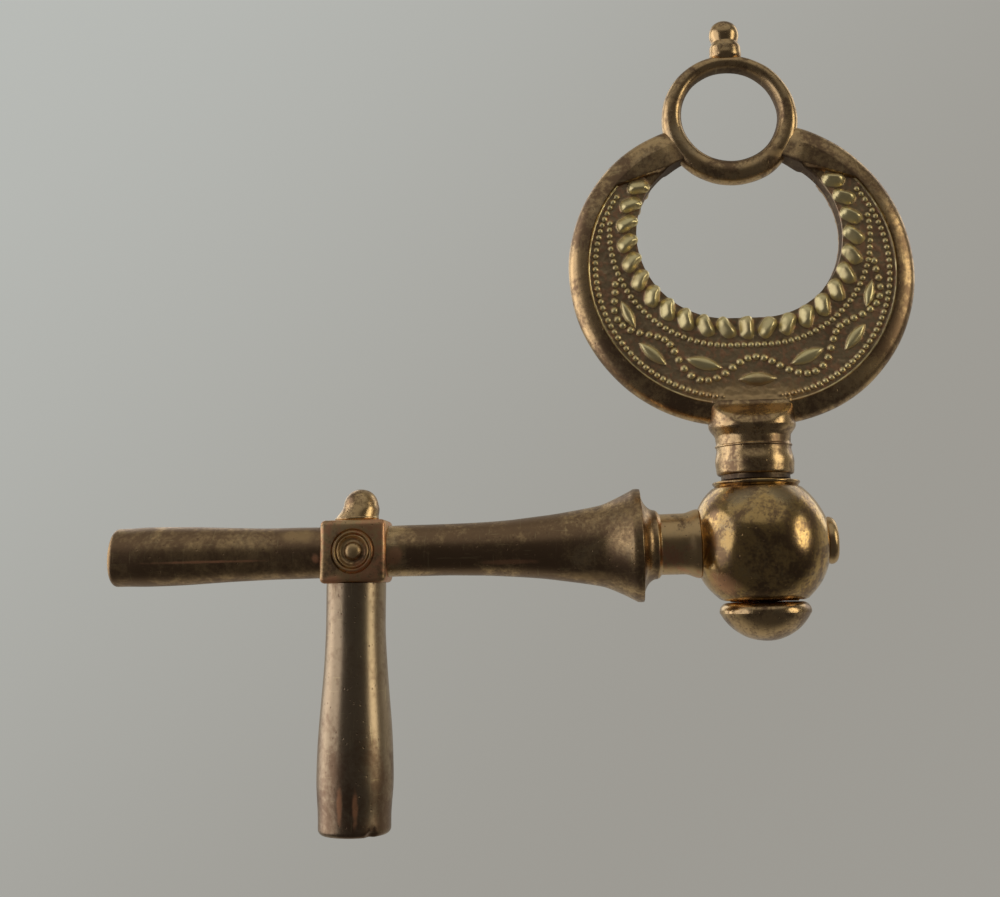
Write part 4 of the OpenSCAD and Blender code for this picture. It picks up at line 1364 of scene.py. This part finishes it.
class WATCHKEY_OT_stage(bpy.types.Operator):
    """Set up the pale floor, the soft lights, the surroundings and the camera"""

    bl_idname = "watchkey.stage"
    bl_label = "Stage"

    def camera(self, context, look):
        """A camera that looks up at the key as the photograph does."""
        data = bpy.data.cameras.new("camera")
        data.lens = look.lens
        data.shift_y = look.shift
        data.clip_start = 1 * MM
        context.scene.camera = placed("camera", data)
        context.scene.camera.matrix_world = (
            Matrix.Translation(look.camera_place)
            @ Matrix.Rotation(look.camera_yaw, 4, "Z")
            @ Matrix.Rotation(pi / 2 + look.camera_tilt, 4, "X")
            @ Matrix.Rotation(look.camera_roll, 4, "Z")
        )

    def floor(self, look):
        """A plain pale floor under the key."""
        bm = bmesh.new()
        bmesh.ops.create_circle(bm, cap_ends=True, segments=SIDES, radius=look.floor_r)
        moved(bm, Matrix.Translation((0, 0, look.floor_z)))
        floor = placed("floor", meshed(bm, "floor"))
        floor.visible_glossy = False
        floor.data.materials.append(floor_material("pale_floor"))

    def light(self, name, azimuth, elevation, size, power, tint):
        """A soft light that faces the key from a direction. Azimuth 0 is the camera's side."""
        centre = sum(CAD_BOX, Vector()) / 2
        a, e = radians(azimuth), radians(elevation)
        away = Vector((sin(a) * cos(e), -cos(a) * cos(e), sin(e)))
        data = bpy.data.lights.new(name, "AREA")
        data.shape = "ELLIPSE"
        data.size, data.size_y = size
        data.energy = power
        data.color = tint
        lamp = placed(name, data)
        facing = away.to_track_quat("Z", "Y").to_matrix().to_4x4()
        lamp.matrix_world = Matrix.Translation(centre + away * LIGHT_DISTANCE) @ facing
        lamp.visible_camera = False

    def surroundings(self, context, look):
        """Dark towards the camera and below it, pale above and behind, with one lit corner."""
        world = context.scene.world = bpy.data.worlds.new("surroundings")
        world.use_nodes = True
        tree = world.node_tree
        tree.nodes.clear()
        way = add_node(tree, "TexCoord").outputs["Generated"]
        parts = add_node(tree, "SeparateXYZ", {"Vector": way}).outputs
        dark, pale = (0.050, 0.047, 0.047), (0.16, 0.155, 0.14)
        seen = blended(tree, stepped(tree, parts["Z"], 0.15, 1.05), dark, pale)
        seen = blended(tree, stepped(tree, parts["Y"], -0.1, 0.55), seen, look.backdrop)
        lit = stepped(tree, calc(tree, "SUBTRACT", parts["Z"], parts["X"]), -0.25, 1.0)
        shown = blended(tree, lit, look.backdrop, look.backdrop_light)
        direct = add_node(tree, "LightPath").outputs["Is Camera Ray"]
        colour = blended(tree, direct, seen, shown)
        background = add_node(tree, "Background", {"Color": colour, "Strength": 1.0})
        add_node(tree, "OutputWorld", {"Surface": background.outputs["Background"]})

    def execute(self, context):
        look = context.scene.watch_key.stage
        self.camera(context, look)
        self.floor(look)
        self.surroundings(context, look)
        for light in LIGHTS:
            self.light(*light)
        context.scene.view_settings.view_transform = "Standard"
        return {"FINISHED"}


class WATCHKEY_PT_maker(bpy.types.Panel):
    """Pieces of the watch key, each made by its own button"""

    bl_idname = "WATCHKEY_PT_maker"
    bl_label = "Watch Key"
    bl_space_type = "VIEW_3D"
    bl_region_type = "UI"
    bl_category = "Watch Key"

    def draw(self, context):
        for operator in OPERATORS:
            self.layout.operator(operator.bl_idname)


OPERATORS = (
    WATCHKEY_OT_stage, WATCHKEY_OT_pipes, WATCHKEY_OT_steel, WATCHKEY_OT_block,
    WATCHKEY_OT_finials, WATCHKEY_OT_arm, WATCHKEY_OT_ball, WATCHKEY_OT_collar,
    WATCHKEY_OT_crescent, WATCHKEY_OT_facings, WATCHKEY_OT_ring,
)
GROUPS = (
    PipeSizes, BlockSizes, ArmSizes, SwivelSizes, BowSizes, ChasingSizes, FinialSizes, Finish,
    StageLook, KeySettings,
)
CLASSES = (*GROUPS, *OPERATORS, WATCHKEY_PT_maker)


def register():
    """Registers the classes and hangs the settings on the scene."""
    for each in CLASSES:
        bpy.utils.register_class(each)
    bpy.types.Scene.watch_key = PointerProperty(type=KeySettings)


def unregister():
    """Undoes register."""
    del bpy.types.Scene.watch_key
    for each in reversed(CLASSES):
        bpy.utils.unregister_class(each)


def main():
    """Makes the stage and every piece."""
    register()
    for operator in OPERATORS:
        group, name = operator.bl_idname.split(".")
        getattr(getattr(bpy.ops, group), name)()


if __name__ == "__main__":
    main()
